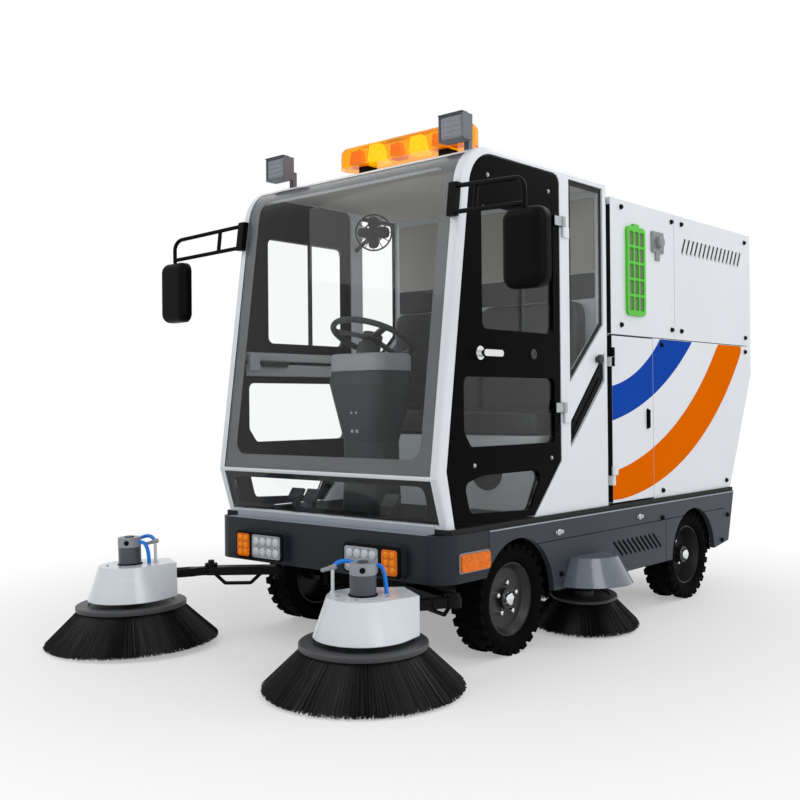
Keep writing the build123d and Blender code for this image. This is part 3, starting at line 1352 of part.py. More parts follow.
with BuildPart() as filter_grilles:
    with BuildSketch(flank(1, HALF_CAB)):
        with Locations((GRILLE_X, GRILLE_Z)):
            RectangleRounded(*GRILLE_SIZE, GRILLE_CORNER_R)
            with Locations((0, GRILLE_SIZE[1] / 2)):
                Rectangle(*GRILLE_TAB)
            with GridLocations(*CELL_PITCH, 3, 5):
                RectangleRounded(*CELL, CELL_CORNER_R, mode=Mode.SUBTRACT)
    extrude(amount=-GRILLE_THICK)
    mirror(about=Plane.XZ)
save(filter_grilles.part, "filter_grilles")

with BuildPart() as isolator_switch:
    with BuildSketch(flank(1, HALF_CAB)):
        with Locations((SWITCH_X, SWITCH_Z)):
            RectangleRounded(*SWITCH_SIZE, SWITCH_CORNER_R)
    extrude(amount=-SWITCH_PLATE)
    with BuildSketch(flank(1, HALF_CAB)):
        with Locations((SWITCH_X, SWITCH_Z - SWITCH_SIZE[1] / 2)):
            Rectangle(SWITCH_TAIL[0], 2 * SWITCH_TAIL[1])
    extrude(amount=-SWITCH_PLATE)
    with BuildSketch(flank(1, HALF_CAB)):
        with Locations((SWITCH_X, SWITCH_Z)):
            Circle(SWITCH_KNOB_R)
    extrude(amount=-SWITCH_THICK)
    fillet(faces().sort_by(Axis.Y)[-1].edges(), radius=SWITCH_PLATE)
save(isolator_switch.part, "isolator_switch")

# Inside the rear body: open hopper behind, battery block in front

HOPPER_FRONT = -640
HOPPER_SIDE_GAP = 51
HOPPER_HALF = BODY_INNER - HOPPER_SIDE_GAP
HOPPER_TOP = 1000
HOPPER_WALL = 10
HOPPER_CLEAR = 25
BATTERY_SIDE_GAP = 81
BATTERY_GAP = 15
BATTERY_LENGTH = 330
BATTERY_HEIGHT = 320

with BuildPart() as hopper:
    with BuildSketch(Plane.XZ):
        with BuildLine():
            Polyline(
                (HOPPER_FRONT, DECK_TOP),
                (HOPPER_FRONT, HOPPER_TOP),
                (body_rear_x(HOPPER_TOP) + PANEL + HOPPER_CLEAR, HOPPER_TOP),
                (body_rear_x(DECK_TOP) + PANEL + HOPPER_CLEAR, DECK_TOP),
                close=True,
            )
        make_face()
    extrude(amount=HOPPER_HALF, both=True)
    offset(amount=-HOPPER_WALL, openings=faces().sort_by(Axis.Z)[-1])
save(hopper.part, "hopper")

with BuildPart() as battery_pack:
    with Locations((BODY_FRONT - PANEL - BATTERY_GAP, 0, DECK_TOP)):
        Box(
            BATTERY_LENGTH,
            2 * (BODY_INNER - BATTERY_SIDE_GAP),
            BATTERY_HEIGHT,
            align=(Align.MAX, Align.CENTER, Align.MIN),
        )
save(battery_pack.part, "battery_pack")
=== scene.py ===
"""Looks of a street sweeper truck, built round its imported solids. Lengths are in metres.

+X points forward, +Y to the vehicle's left and +Z up.
"""

import json
from math import acos, cos, hypot, pi, radians, sin, sqrt, tan

import bmesh
import bpy
from mathutils import Matrix, Vector


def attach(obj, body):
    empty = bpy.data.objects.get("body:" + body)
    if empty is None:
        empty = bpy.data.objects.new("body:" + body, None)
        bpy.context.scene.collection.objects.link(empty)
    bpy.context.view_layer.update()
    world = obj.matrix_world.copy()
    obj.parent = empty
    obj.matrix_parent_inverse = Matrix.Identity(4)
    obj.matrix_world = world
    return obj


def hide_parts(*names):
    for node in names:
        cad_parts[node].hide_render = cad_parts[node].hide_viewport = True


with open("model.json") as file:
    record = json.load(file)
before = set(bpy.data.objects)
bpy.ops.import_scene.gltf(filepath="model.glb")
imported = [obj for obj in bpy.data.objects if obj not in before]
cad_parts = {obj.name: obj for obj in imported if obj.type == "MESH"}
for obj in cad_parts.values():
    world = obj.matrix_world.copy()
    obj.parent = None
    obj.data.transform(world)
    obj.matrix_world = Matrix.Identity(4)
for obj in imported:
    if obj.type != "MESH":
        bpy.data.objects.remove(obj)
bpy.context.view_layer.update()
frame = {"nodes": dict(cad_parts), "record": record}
scene = bpy.context.scene

# Sides with their sign along Y, and signs of a rectangle's corners in turn
SIDES = (("left", 1), ("right", -1))
CORNERS = ((1, 1), (-1, 1), (-1, -1), (1, -1))
# Sizes that the solids also have
HALF_CAB = 0.641
HALF_SKIRT = 0.661
FRONT_AXLE_X = 0.575
REAR_AXLE_X = -1.005
WHEEL_Y = 0.557
TYRE_R = 0.226
GROUND_GAP = 0.003
SEAM_Z = 1.340
LOWER_SEAM_X = -0.612
CAB_INNER = 0.601
CAB_KINK = (1.065, 0.742)
CAB_FOOT = (1.006, 0.548)
SCREEN_TOP = (0.886, 2.035)
SCREEN_FOOT_Z = 0.750
ROOF_CORNER_R = 0.180
GLASS_END_X = 0.830
GLASS = 0.008
NOSE_GLASS = (0.564, 0.733)
WALL_FACE = -0.140
DOOR_INNER = 0.611


# Tools for nodes

def srgb(code):
    """An sRGB hex colour as the linear one that shaders take."""
    parts = [int(code[i:i + 2], 16) / 255 for i in (1, 3, 5)]
    return [*(p / 12.92 if p <= 0.04045 else ((p + 0.055) / 1.055) ** 2.4 for p in parts), 1.0]


def wire(tree, node, links):
    """Pair a node's inputs with values or with other nodes' outputs."""
    for key, value in links.items():
        if isinstance(value, bpy.types.NodeSocket):
            tree.links.new(value, node.inputs[key])
        else:
            node.inputs[key].default_value = value
    return node


def add(tree, kind, links=None, **settings):
    """Add a node with its settings and its inputs."""
    made = tree.nodes.new(kind)
    for key, value in settings.items():
        setattr(made, key, value)
    return wire(tree, made, links or {})


def number(tree, operation, a, b):
    """Result of an operation on two numbers."""
    return add(tree, "ShaderNodeMath", {0: a, 1: b}, operation=operation).outputs[0]


def vector(tree, operation, a, b):
    """Result of an operation on two vectors, or of scaling one by a number."""
    second = "Scale" if operation == "SCALE" else 1
    return add(tree, "ShaderNodeVectorMath", {0: a, second: b}, operation=operation).outputs[0]


def per_metre(millimetres):
    """Texture scale for a pattern of this size."""
    return 1000 / millimetres


def noise(tree, spot, size_mm, detail):
    """Cloudy pattern of this size."""
    links = {"Vector": spot, "Scale": per_metre(size_mm), "Detail": detail}
    return add(tree, "ShaderNodeTexNoise", links).outputs["Fac"]


def bumped(tree, height, strength, distance):
    """Bump node that follows a height."""
    return add(tree, "ShaderNodeBump", {"Height": height, "Strength": strength, "Distance": distance})


def blank_material(name):
    """A new material with its shader, and the object coordinates."""
    made = bpy.data.materials.new(name)
    made.use_nodes = True
    tree = made.node_tree
    tree.nodes.clear()
    shader = add(tree, "ShaderNodeBsdfPrincipled")
    add(tree, "ShaderNodeOutputMaterial", {"Surface": shader.outputs[0]})
    spot = add(tree, "ShaderNodeTexCoord").outputs["Object"]
    return made, tree, shader, spot


# Materials

PATCH_DETAIL = 3.0
GRAIN_DETAIL = 2.0
GRAIN_HEIGHT = 0.001
COAT_ROUGH = 0.08
BEVEL_SAMPLES = 4


def surface(name, light, dark, rough, patch_mm, grain_mm, grain, metal=0.0, coat=0.0, edge=0.0, swing=0.05,
            shine=0.5):
    """A finish that drifts between two colours in patches, with a fine grain in its height and gloss."""
    made, tree, shader, spot = blank_material(name)
    patches = noise(tree, spot, patch_mm, PATCH_DETAIL)
    tint = add(tree, "ShaderNodeMix", {0: patches, 6: srgb(light), 7: srgb(dark)}, data_type="RGBA")
    gloss = add(tree, "ShaderNodeMapRange", {0: patches, 3: rough - swing, 4: rough + swing})
    bump = bumped(tree, noise(tree, spot, grain_mm, GRAIN_DETAIL), grain, GRAIN_HEIGHT)
    if edge:
        rounding = add(tree, "ShaderNodeBevel", {"Radius": edge}, samples=BEVEL_SAMPLES)
        wire(tree, bump, {"Normal": rounding.outputs[0]})
    wire(tree, shader, {
        "Base Color": tint.outputs[2], "Roughness": gloss.outputs[0], "Normal": bump.outputs[0],
        "Metallic": metal, "Coat Weight": coat, "Coat Roughness": COAT_ROUGH, "Specular IOR Level": shine})
    return made


# Each: light and dark colour, roughness, size of the patches and of the grain in mm, strength of the grain
# Baked enamel on sheet steel: a hard gloss over a faint orange peel
white_enamel = surface("white_enamel", "#E9EDF1", "#DFE4E9", 0.34, 600, 6, 0.03, coat=0.25, edge=0.004)
# Powder coat on folded steel: a satin that shows a fine pebble
slate_powder = surface("slate_powder_coat", "#343A42", "#2D3239", 0.46, 300, 4, 0.10, edge=0.003, shine=0.25)
# A darker copy of the slate powder coat, used on the bumper: painted shade
shaded_slate = surface("slate_powder_coat_painted_shade", "#262B31", "#21252B", 0.46, 300, 4, 0.10, edge=0.003,
                     shine=0.2)
# Coloured acrylic sheet: deep black with a satin skin
black_acrylic = surface("black_acrylic", "#040405", "#060607", 0.30, 500, 40, 0.01, edge=0.003, shine=0.02)
# Chassis paint over hot-rolled steel: black, a little rough
black_paint = surface("black_chassis_paint", "#101012", "#0A0A0B", 0.45, 60, 5, 0.15, edge=0.002, shine=0.1)
# Moulded ABS with a spark-eroded grain
black_abs = surface("black_abs", "#0B0C0D", "#070708", 0.40, 120, 2.5, 0.18, edge=0.003, shine=0.05)
dark_abs = surface("dark_grey_abs", "#2B2E31", "#232629", 0.48, 120, 2.5, 0.18, edge=0.003, shine=0.4)
grey_abs = surface("grey_abs", "#8D9195", "#7F8387", 0.45, 120, 2.5, 0.15, edge=0.002)
light_grey_enamel = surface("light_grey_enamel", "#B9C0C2", "#ADB5B7", 0.4, 300, 5, 0.05, edge=0.003)
white_grp = surface("white_moulded_shell", "#E4E9EE", "#DAE1E8", 0.28, 300, 8, 0.03, coat=0.3, edge=0.004)
white_nylon = surface("white_nylon", "#E3E5E6", "#D8DBDD", 0.4, 60, 3, 0.08)
# Black enamelled pressed steel of the wheels
wheel_enamel = surface("black_wheel_enamel", "#1A1B1D", "#131415", 0.36, 60, 6, 0.06, edge=0.002, shine=0.4)
# Vulcanised rubber: matt, greyed in patches on the tyres
tyre_rubber = surface("tyre_rubber", "#101011", "#0A0A0B", 0.78, 40, 3, 0.25, swing=0.1, shine=0.02)
deck_rubber = surface("deck_rubber", "#141516", "#0E0F10", 0.7, 80, 3, 0.25, shine=0.3)
seal_rubber = surface("seal_rubber", "#101011", "#0A0A0B", 0.62, 60, 3, 0.15, shine=0.3)
# Extruded polypropylene filaments: black with a soft sheen
bristle_pp = surface("bristle_polypropylene", "#0E0D0D", "#060606", 0.5, 20, 3, 0.1, shine=0.25)
brush_plate = surface("brush_plate_plastic", "#4A4B4D", "#3F4042", 0.5, 90, 3, 0.15, shine=0.4)
motor_dark = surface("motor_dark_enamel", "#4A5058", "#41464E", 0.4, 60, 4, 0.08, edge=0.002)
motor_light = surface("motor_cap_grey", "#9A9FA4", "#8C9196", 0.42, 60, 4, 0.08, edge=0.002)
green_abs = surface("green_abs", "#4FCB16", "#45BC10", 0.4, 90, 3, 0.1, edge=0.001)
# Needled filter felt: soft, matt and flecked
filter_felt = surface("filter_felt", "#8B9080", "#6F7466", 0.9, 12, 2, 0.4)
blue_film = surface("blue_vinyl_film", "#1D4CB2", "#1A46A6", 0.4, 300, 20, 0.02, shine=0.0)
orange_film = surface("orange_vinyl_film", "#EC6F00", "#E46800", 0.4, 300, 20, 0.02, shine=0.0)
blue_pu = surface("blue_pu_hose", "#1A86F0", "#1478DE", 0.3, 50, 6, 0.02, shine=0.3)
zinc_steel = surface("zinc_plated_steel", "#B9BCC0", "#9FA3A8", 0.35, 30, 3, 0.1, metal=1.0)
galvanised = surface("galvanised_sheet", "#A9ADB0", "#8E9397", 0.5, 25, 4, 0.08, metal=0.9)
# Extruded aluminium, left as it came from the mill: dull, with a bluish light. The same finish makes the
# light line along the skirts' top edges, a painted highlight
aluminium_and_painted_highlight = surface("aluminium_and_painted_highlight", "#A3AAB4", "#949CA7", 0.42, 120, 4, 0.05, metal=0.5)
chrome = surface("chrome_plate", "#E4E6E8", "#D8DADC", 0.08, 80, 30, 0.01, metal=1.0, swing=0.02)
seat_vinyl = surface("seat_vinyl", "#16191F", "#101217", 0.46, 150, 3, 0.3, shine=0.4)
silvering = surface("mirror_silvering", "#DADDE0", "#D2D5D8", 0.03, 200, 60, 0.0, metal=1.0, swing=0.01)
# Ceramic print on the edge of the glass: opaque and dull
ceramic_frit = surface("grey_ceramic_frit", "#6A6B6D", "#626365", 0.5, 200, 6, 0.02, shine=0.2)
black_frit = surface("black_ceramic_frit", "#0B0B0D", "#08080A", 0.5, 200, 6, 0.02, shine=0.15)
# Woven cloth on board, lighter overhead
headlining = surface("headlining_cloth", "#C8C5BF", "#BDBAB4", 0.9, 150, 3, 0.2, shine=0.2)
lining_board = surface("lining_board", "#9C9993", "#918E88", 0.85, 150, 3, 0.2, shine=0.3)
# Die-cast aluminium of the work lamps, painted grey
lamp_grey = surface("painted_die_casting", "#666870", "#5A5C64", 0.45, 60, 3, 0.12, edge=0.001)
lamp_silver = surface("lamp_reflector_silver", "#7C8187", "#6E7379", 0.4, 40, 4, 0.05, metal=0.3)
# Slate paint with a gloss coat on the hoods that stand out of the skirts, made lighter than the skirts'
# slate: painted sheen
slate_painted_sheen = surface("slate_paint_painted_sheen", "#616C79", "#586370", 0.26, 200, 6, 0.03, coat=0.5, edge=0.003)

CLEAR_IOR = 1.2
LENS_DEPTH = 0.002

# Float glass: clear, with a faint waviness that breaks up its reflections
cab_glass, tree, shader, spot = blank_material("clear_cab_glass")
bump = bumped(tree, noise(tree, spot, 400, 1.0), 0.02, LENS_DEPTH)
wire(tree, shader, {
    "Normal": bump.outputs[0], "Base Color": srgb("#FCFDFD"), "Roughness": 0.0, "IOR": CLEAR_IOR,
    "Transmission Weight": 1.0})

# Moulded amber acrylic of the beacon: clear enough to show the reflectors inside
beacon_lens, tree, shader, spot = blank_material("beacon_acrylic")
ribs = add(tree, "ShaderNodeTexWave", {"Vector": spot, "Scale": per_metre(60), "Distortion": 0.5},
           bands_direction="Y")
bump = bumped(tree, ribs.outputs["Fac"], 0.15, LENS_DEPTH)
wire(tree, shader, {
    "Normal": bump.outputs[0], "Base Color": srgb("#FFB000"), "Roughness": 0.12, "IOR": CLEAR_IOR,
    "Specular IOR Level": 0.1, "Transmission Weight": 0.85, "Emission Color": srgb("#E87800"),
    "Emission Strength": 0.06})


def lens_material(name, colour, glow, rib_mm):
    """Moulded lens plastic: coloured, ribbed inside, and lit a little by what it scatters."""
    made, tree, shader, spot = blank_material(name)
    ribs = add(tree, "ShaderNodeTexVoronoi", {"Vector": spot, "Scale": per_metre(rib_mm)}).outputs["Distance"]
    shade = add(tree, "ShaderNodeMapRange", {0: ribs, 3: 0.55, 4: 1.1})
    wire(tree, shader, {
        "Base Color": vector(tree, "MULTIPLY", srgb(colour)[:3], shade.outputs[0]),
        "Normal": bumped(tree, ribs, 0.5, LENS_DEPTH).outputs[0], "Roughness": 0.15,
        "Specular IOR Level": 0.2, "Emission Color": srgb(colour), "Emission Strength": glow})
    return made


amber_lens = lens_material("amber_lens", "#E87000", 0.15, 14)
amber_cell = lens_material("amber_cell", "#F08A06", 0.25, 6)
beacon_yellow = lens_material("beacon_reflector", "#FFE486", 0.9, 12)
led_lens = lens_material("led_reflector", "#A9B1B9", 0.03, 9)
led_cell = lens_material("led_cell", "#D3D9DF", 0.10, 5)
work_cell = lens_material("work_lamp_cell", "#A0A5AA", 0.03, 5)

SLOT_LOOKS = {
    "white_paint": white_enamel, "light_grey_paint": light_grey_enamel, "slate_paint": slate_powder,
    "black_door": black_acrylic, "black_steel": black_paint, "deck_rubber": deck_rubber,
    "tinted_glass": cab_glass, "chrome": chrome, "tyre": tyre_rubber, "wheel_steel": wheel_enamel,
    "bristle": bristle_pp, "hood_white": white_grp, "motor_grey": motor_dark, "amber_lens": amber_lens,
    "clear_lamp": led_lens, "lamp_housing": black_abs, "black_plastic": black_abs, "seat_vinyl": seat_vinyl,
    "green_plastic": green_abs, "grey_plastic": grey_abs, "galvanised": galvanised,
}
# Solids whose finish differs from the rest of their slot; the bumper's darker slate is painted shade
OWN_LOOKS = {
    "beacon_bar": beacon_lens, "steering_pedestal": dark_abs, "steering_wheel": dark_abs,
    "work_lamps": lamp_grey, "cab_fan": black_abs, "front_bumper": shaded_slate,
}
for row in frame["record"]["subparts"]:
    shown = frame["nodes"][row["node"]].data.materials
    shown.clear()
    shown.append(OWN_LOOKS.get(row["node"], SLOT_LOOKS[row["material_slot"]]))


# Mesh tools

SMOOTH = 35
WELD = 1e-6
LEAST_CORNER = 0.0003


def put(name, data):
    """A new object in the scene."""
    made = bpy.data.objects.new(name, data)
    scene.collection.objects.link(made)
    return made


def piece(name, mesh, look, body="chassis", slot=None, *replaced):
    """Show a finished mesh as a piece that rides on a body, standing for the solids that it replaces."""
    mesh.materials.clear()
    mesh.materials.append(look)
    shown = put(name, mesh)
    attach(shown, body)
    if replaced:
        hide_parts(*replaced)
    return shown


def finished(shape, smooth=SMOOTH):
    """The mesh of a shape; smooth is the angle below which edges are shaded round."""
    mesh = bpy.data.meshes.new("part")
    shape.to_mesh(mesh)
    shape.free()
    mesh.shade_smooth()
    mesh.set_sharp_from_angle(angle=radians(smooth))
    return mesh


def from_bmesh(shape, smooth=SMOOTH):
    """A finished mesh with its faces pointing outwards."""
    bmesh.ops.remove_doubles(shape, verts=shape.verts, dist=WELD)
    bmesh.ops.recalc_face_normals(shape, faces=shape.faces)
    return finished(shape, smooth)


def join(*meshes):
    """Several meshes as one."""
    shape = bmesh.new()
    for mesh in meshes:
        shape.from_mesh(mesh)
    return finished(shape)


def lathe(shape, rings, place, steps=48, arc=2 * pi):
    """Turn a closed section, given as (radius, height) corners, round the local Z of a place."""
    whole = arc == 2 * pi
    loops = []
    for i in range(steps if whole else steps + 1):
        turn = arc * i / steps
        loops.append([shape.verts.new(place @ Vector((r * cos(turn), r * sin(turn), h))) for r, h in rings])
    for i in range(steps):
        here = loops[i]
        there = loops[(i + 1) % len(loops)]
        for j in range(len(rings)):
            k = (j + 1) % len(rings)
            if max(rings[j][0], rings[k][0]) > 0:
                shape.faces.new([here[j], here[k], there[k], there[j]])
    if not whole:
        shape.faces.new(loops[0])
        shape.faces.new(loops[-1])


def rounded(size, radius, at=(0.0, 0.0), corner=6, side=1):
    """Outline of a rectangle with round corners, with some points along each corner and each side."""
    half_x = size[0] / 2 - radius
    half_y = size[1] / 2 - radius

    def on_corner(k, turn):
        sx, sy = CORNERS[k % len(CORNERS)]
        return at[0] + sx * half_x + radius * cos(turn), at[1] + sy * half_y + radius * sin(turn)

    points = []
    for k in range(len(CORNERS)):
        for i in range(corner + 1):
            points.append(on_corner(k, (k + i / corner) * pi / 2))
        last = points[-1]
        to = on_corner(k + 1, (k + 1) * pi / 2)
        for i in range(1, side):
            t = i / side
            points.append((last[0] + (to[0] - last[0]) * t, last[1] + (to[1] - last[1]) * t))
    return points


def stack(shape, layers, place):
    """A closed solid through outlines of equal count, each at its height above the place."""
    loops = [[shape.verts.new(place @ Vector((x, y, h))) for x, y in outline] for outline, h in layers]
    for a, b in zip(loops, loops[1:]):
        for i in range(len(a)):
            j = (i + 1) % len(a)
            shape.faces.new([a[i], a[j], b[j], b[i]])
    shape.faces.new(loops[0])
    shape.faces.new(loops[-1])


def plate(shape, place, at, size, radius, low, high, ease=0.0015):
    """A plate with round corners and an eased upper edge."""
    eased = (size[0] - 2 * ease, size[1] - 2 * ease)
    top = max(radius - ease, LEAST_CORNER)
    stack(shape, [(rounded(size, radius, at), low), (rounded(size, radius, at), high - ease),
                  (rounded(eased, top, at), high)], place)


def band(shape, inner, outer, at, low, high, steps=8):
    """A thin band between two outlines of equal count, laid on a surface by the function at(u, v, height)."""
    sheets = []
    for h in (low, high):
        rings = []
        for k in range(steps + 1):
            t = k / steps
            rings.append([shape.verts.new(at(a[0] + (b[0] - a[0]) * t, a[1] + (b[1] - a[1]) * t, h))
                          for a, b in zip(inner, outer)])
        sheets.append(rings)
    pairs = [pair for rings in sheets for pair in zip(rings, rings[1:])]
    pairs += [(sheets[0][k], sheets[1][k]) for k in (0, steps)]
    for r, s in pairs:
        for i in range(len(inner)):
            j = (i + 1) % len(inner)
            shape.faces.new([r[i], r[j], s[j], s[i]])


def build(name, look, body="chassis", slot=None, plates=(), lathes=(), stacks=(), bands=()):
    """A piece made of several solids, each given as what its tool takes after the shape."""
    shape = bmesh.new()
    for tool, rows in ((plate, plates), (lathe, lathes), (stack, stacks), (band, bands)):
        for row in rows:
            tool(shape, *row)
    return piece(name, from_bmesh(shape), look, body, slot)


def turned(rings, steps=16):
    """A small turned shape about its own Z, such as a knob, as a mesh."""
    shape = bmesh.new()
    lathe(shape, rings, Matrix.Identity(4), steps)
    return from_bmesh(shape)


# Places: local Z is the way out of the face

FORWARD = (0, pi / 2, 0)


def outward(sign):
    """Turn that points a shape's Z out of a flank."""
    return (-sign * pi / 2, 0, 0)


def axis_place(origin, axis):
    """A place whose local Z is the axis."""
    return Matrix.Translation(origin) @ Vector(axis).to_track_quat("Z", "Y").to_matrix().to_4x4()


def flank_place(sign, half=HALF_CAB, way=1):
    """Place on a flank: local X forward, local Y up, local Z outward, or inward where way is -1."""
    return Matrix(((1, 0, 0, 0), (0, 0, sign * way, sign * half), (0, 1, 0, 0), (0, 0, 0, 1)))


def front_place(x):
    """Place on a cross plane that faces forward: local X to the left, local Y up."""
    return Matrix(((0, 0, 1, x), (1, 0, 0, 0), (0, 1, 0, 0), (0, 0, 0, 1)))


def back_place(x):
    """Place on a cross plane that faces back: local X to the right, local Y up."""
    return Matrix(((0, 0, -1, x), (-1, 0, 0, 0), (0, 1, 0, 0), (0, 0, 0, 1)))


# Trees of geometry nodes for what repeats

def grown(tree, inputs, base=None, copied=None):
    """The plain mesh that a tree makes from named inputs, a base mesh and a mesh that it copies."""
    holder = put("holder", base or bpy.data.meshes.new("empty"))
    modifier = holder.modifiers.new("grow", "NODES")
    modifier.node_group = tree
    extra = []
    if copied:
        extra.append(put("template", copied))
        inputs["Shape"] = extra[0]
    for item in tree.interface.items_tree:
        if item.item_type == "SOCKET" and item.name in inputs:
            modifier[item.identifier] = inputs[item.name]
    seen = holder.evaluated_get(bpy.context.evaluated_depsgraph_get())
    mesh = bpy.data.meshes.new_from_object(seen)
    for used in (holder, *extra):
        bpy.data.objects.remove(used)
    return mesh


def new_tree(name, sockets):
    """An empty tree with its inputs, given as names and the kind of their sockets, and its group nodes."""
    tree = bpy.data.node_groups.new(name, "GeometryNodeTree")
    tree.interface.new_socket("Geometry", in_out="INPUT", socket_type="NodeSocketGeometry")
    for label, kind in sockets.items():
        tree.interface.new_socket(label, in_out="INPUT", socket_type=f"NodeSocket{kind}")
    tree.interface.new_socket("Geometry", in_out="OUTPUT", socket_type="NodeSocketGeometry")
    return tree, add(tree, "NodeGroupInput").outputs


def close_tree(tree, geometry, material):
    """Realize the instances, set the material and end the tree."""
    real = add(tree, "GeometryNodeRealizeInstances", {0: geometry})
    dressed = add(tree, "GeometryNodeSetMaterial", {"Geometry": real.outputs[0], "Material": material})
    add(tree, "NodeGroupOutput", {0: dressed.outputs[0]})


SHORTEST = 0.93


def bristle_tree():
    """Filaments set in a ring: each leans out from the ring's middle by the splay, with some scatter."""
    tree, given = new_tree("bristle ring", {
        "Count": "Int", "Ring radius": "Float", "Row width": "Float", "Length": "Float", "Splay": "Float",
        "Scatter": "Float", "Thickness": "Float", "Seed": "Int", "Material": "Material"})
    ring = add(tree, "GeometryNodeMeshCircle", {"Vertices": given["Count"], "Radius": given["Ring radius"]})
    where = add(tree, "GeometryNodeInputPosition").outputs[0]
    away = add(tree, "ShaderNodeVectorMath", {0: where}, operation="NORMALIZE").outputs[0]
    depth = add(tree, "FunctionNodeRandomValue", {"Seed": given["Seed"], 2: -1.0, 3: 0.0}, data_type="FLOAT")
    inset = number(tree, "MULTIPLY", depth.outputs[1], given["Row width"])
    rows = add(tree, "GeometryNodeSetPosition",
               {"Geometry": ring.outputs[0], "Offset": vector(tree, "SCALE", away, inset)})
    down = vector(tree, "ADD", vector(tree, "SCALE", away, given["Splay"]), (0, 0, -1))
    stray = add(tree, "FunctionNodeRandomValue", {"Seed": given["Seed"], 0: (-1, -1, -1), 1: (1, 1, 1)},
                data_type="FLOAT_VECTOR")
    along = vector(tree, "ADD", down, vector(tree, "SCALE", stray.outputs[0], given["Scatter"]))
    aim = add(tree, "FunctionNodeAlignRotationToVector", {"Vector": along}, axis="Z")
    filament = add(tree, "GeometryNodeMeshCone", {
        "Vertices": 4, "Radius Top": given["Thickness"], "Radius Bottom": given["Thickness"],
        "Depth": given["Length"]})
    size = add(tree, "FunctionNodeRandomValue", {"Seed": given["Seed"], 2: SHORTEST, 3: 1.0},
               data_type="FLOAT")
    set_in = add(tree, "GeometryNodeInstanceOnPoints", {
        "Points": rows.outputs[0], "Instance": filament.outputs["Mesh"], "Rotation": aim.outputs[0],
        "Scale": size.outputs[1]})
    close_tree(tree, set_in.outputs[0], given["Material"])
    return tree


def ring_tree():
    """Copies of one shape in a ring round the local Z, such as wheel nuts."""
    tree, given = new_tree("ring of copies", {
        "Count": "Int", "Radius": "Float", "Start": "Float", "Shape": "Object", "Material": "Material"})
    ring = add(tree, "GeometryNodeMeshCircle", {"Vertices": given["Count"], "Radius": given["Radius"]})
    where = add(tree, "GeometryNodeInputPosition")
    aim = add(tree, "FunctionNodeAlignRotationToVector", {"Vector": where.outputs[0]}, axis="X",
              pivot_axis="Z")
    shape = add(tree, "GeometryNodeObjectInfo", {"Object": given["Shape"]})
    set_out = add(tree, "GeometryNodeInstanceOnPoints", {
        "Points": ring.outputs[0], "Instance": shape.outputs["Geometry"], "Rotation": aim.outputs[0]})
    start = add(tree, "ShaderNodeCombineXYZ", {"Z": given["Start"]})
    spun = add(tree, "GeometryNodeTransform", {"Geometry": set_out.outputs[0], "Rotation": start.outputs[0]})
    close_tree(tree, spun.outputs[0], given["Material"])
    return tree


def seat_tree():
    """Copies of one shape on the points of a mesh, all turned alike, such as bolts and lamp cells."""
    tree, given = new_tree("copies on points", {"Shape": "Object", "Turn": "Vector", "Material": "Material"})
    shape = add(tree, "GeometryNodeObjectInfo", {"Object": given["Shape"]})
    set_out = add(tree, "GeometryNodeInstanceOnPoints", {
        "Points": given["Geometry"], "Instance": shape.outputs["Geometry"], "Rotation": given["Turn"]})
    close_tree(tree, set_out.outputs[0], given["Material"])
    return tree


BRISTLES = bristle_tree()
RING = ring_tree()
SEATS = seat_tree()


def copies(name, look, points, mesh, turn, body="chassis"):
    """A piece with a copy of a shape at each point, all turned alike."""
    base = bpy.data.meshes.new("points")
    base.from_pydata([tuple(p) for p in points], [], [])
    return piece(name, grown(SEATS, {"Turn": turn, "Material": look}, base, mesh), look, body)


# Bolt head, as shares of its width across flats and of its height
WASHER_R = 0.72
HEX_R = 0.55
HEX_TOP_R = 0.45
WASHER_TOP = 0.2
HEX_EDGE = 0.9


def hex_head(across, height):
    """A hexagon bolt head on a washer, as a mesh."""
    shape = bmesh.new()
    washer = height * WASHER_TOP
    lathe(shape, [(0, 0), (across * WASHER_R, 0), (across * WASHER_R, washer), (0, washer)],
          Matrix.Identity(4), 16)
    lathe(shape, [(0, washer), (across * HEX_R, washer), (across * HEX_R, height * HEX_EDGE),
                  (across * HEX_TOP_R, height), (0, height)], Matrix.Identity(4), 6)
    return from_bmesh(shape, 20)


# Camera at the photograph's place

CAMERA_AT = (4.001, 3.046, 1.020)
CAMERA_YAW = radians(41.41)
CAMERA_PITCH = radians(0.28)
CAMERA_ROLL = radians(-0.52)
LENS_MM = 46.11
SENSOR_MM = 36

level = cos(CAMERA_PITCH)
ahead = Vector((-cos(CAMERA_YAW) * level, -sin(CAMERA_YAW) * level, sin(CAMERA_PITCH)))
right = ahead.cross(Vector((0, 0, 1))).normalized()
up = right.cross(ahead)
camera_x = right * cos(CAMERA_ROLL) + up * sin(CAMERA_ROLL)
camera_y = up * cos(CAMERA_ROLL) - right * sin(CAMERA_ROLL)
camera_turn = Matrix((camera_x, camera_y, -ahead)).transposed().to_4x4()
camera_data = bpy.data.cameras.new("camera")
camera_data.lens = LENS_MM
camera_data.sensor_width = SENSOR_MM
camera = put("camera", camera_data)
camera.matrix_world = Matrix.Translation(CAMERA_AT) @ camera_turn
scene.camera = camera
scene.view_settings.view_transform = "Standard"

# Stage: a pale floor that fades into a white background, and soft studio lamps

FLOOR_HALF = 60
FLOOR_DROP = 0.0005
FLOOR_ROUGH = 0.7
FADE_NEAR = 1.2
FADE_FAR = 3.4
GLOW_NEAR = 0.35
SKY_LIGHT = 0.54
SOFTBOX = 3.0
# Place, target and watts of each lamp
LAMPS = [
    ((4.5, -2.5, 4.5), (0.2, 0, 1.0), 45),
    ((2.0, 5.5, 4.0), (-0.3, 0.4, 1.0), 95),
    ((-4.0, 2.0, 4.5), (-0.5, 0, 1.0), 60),
]


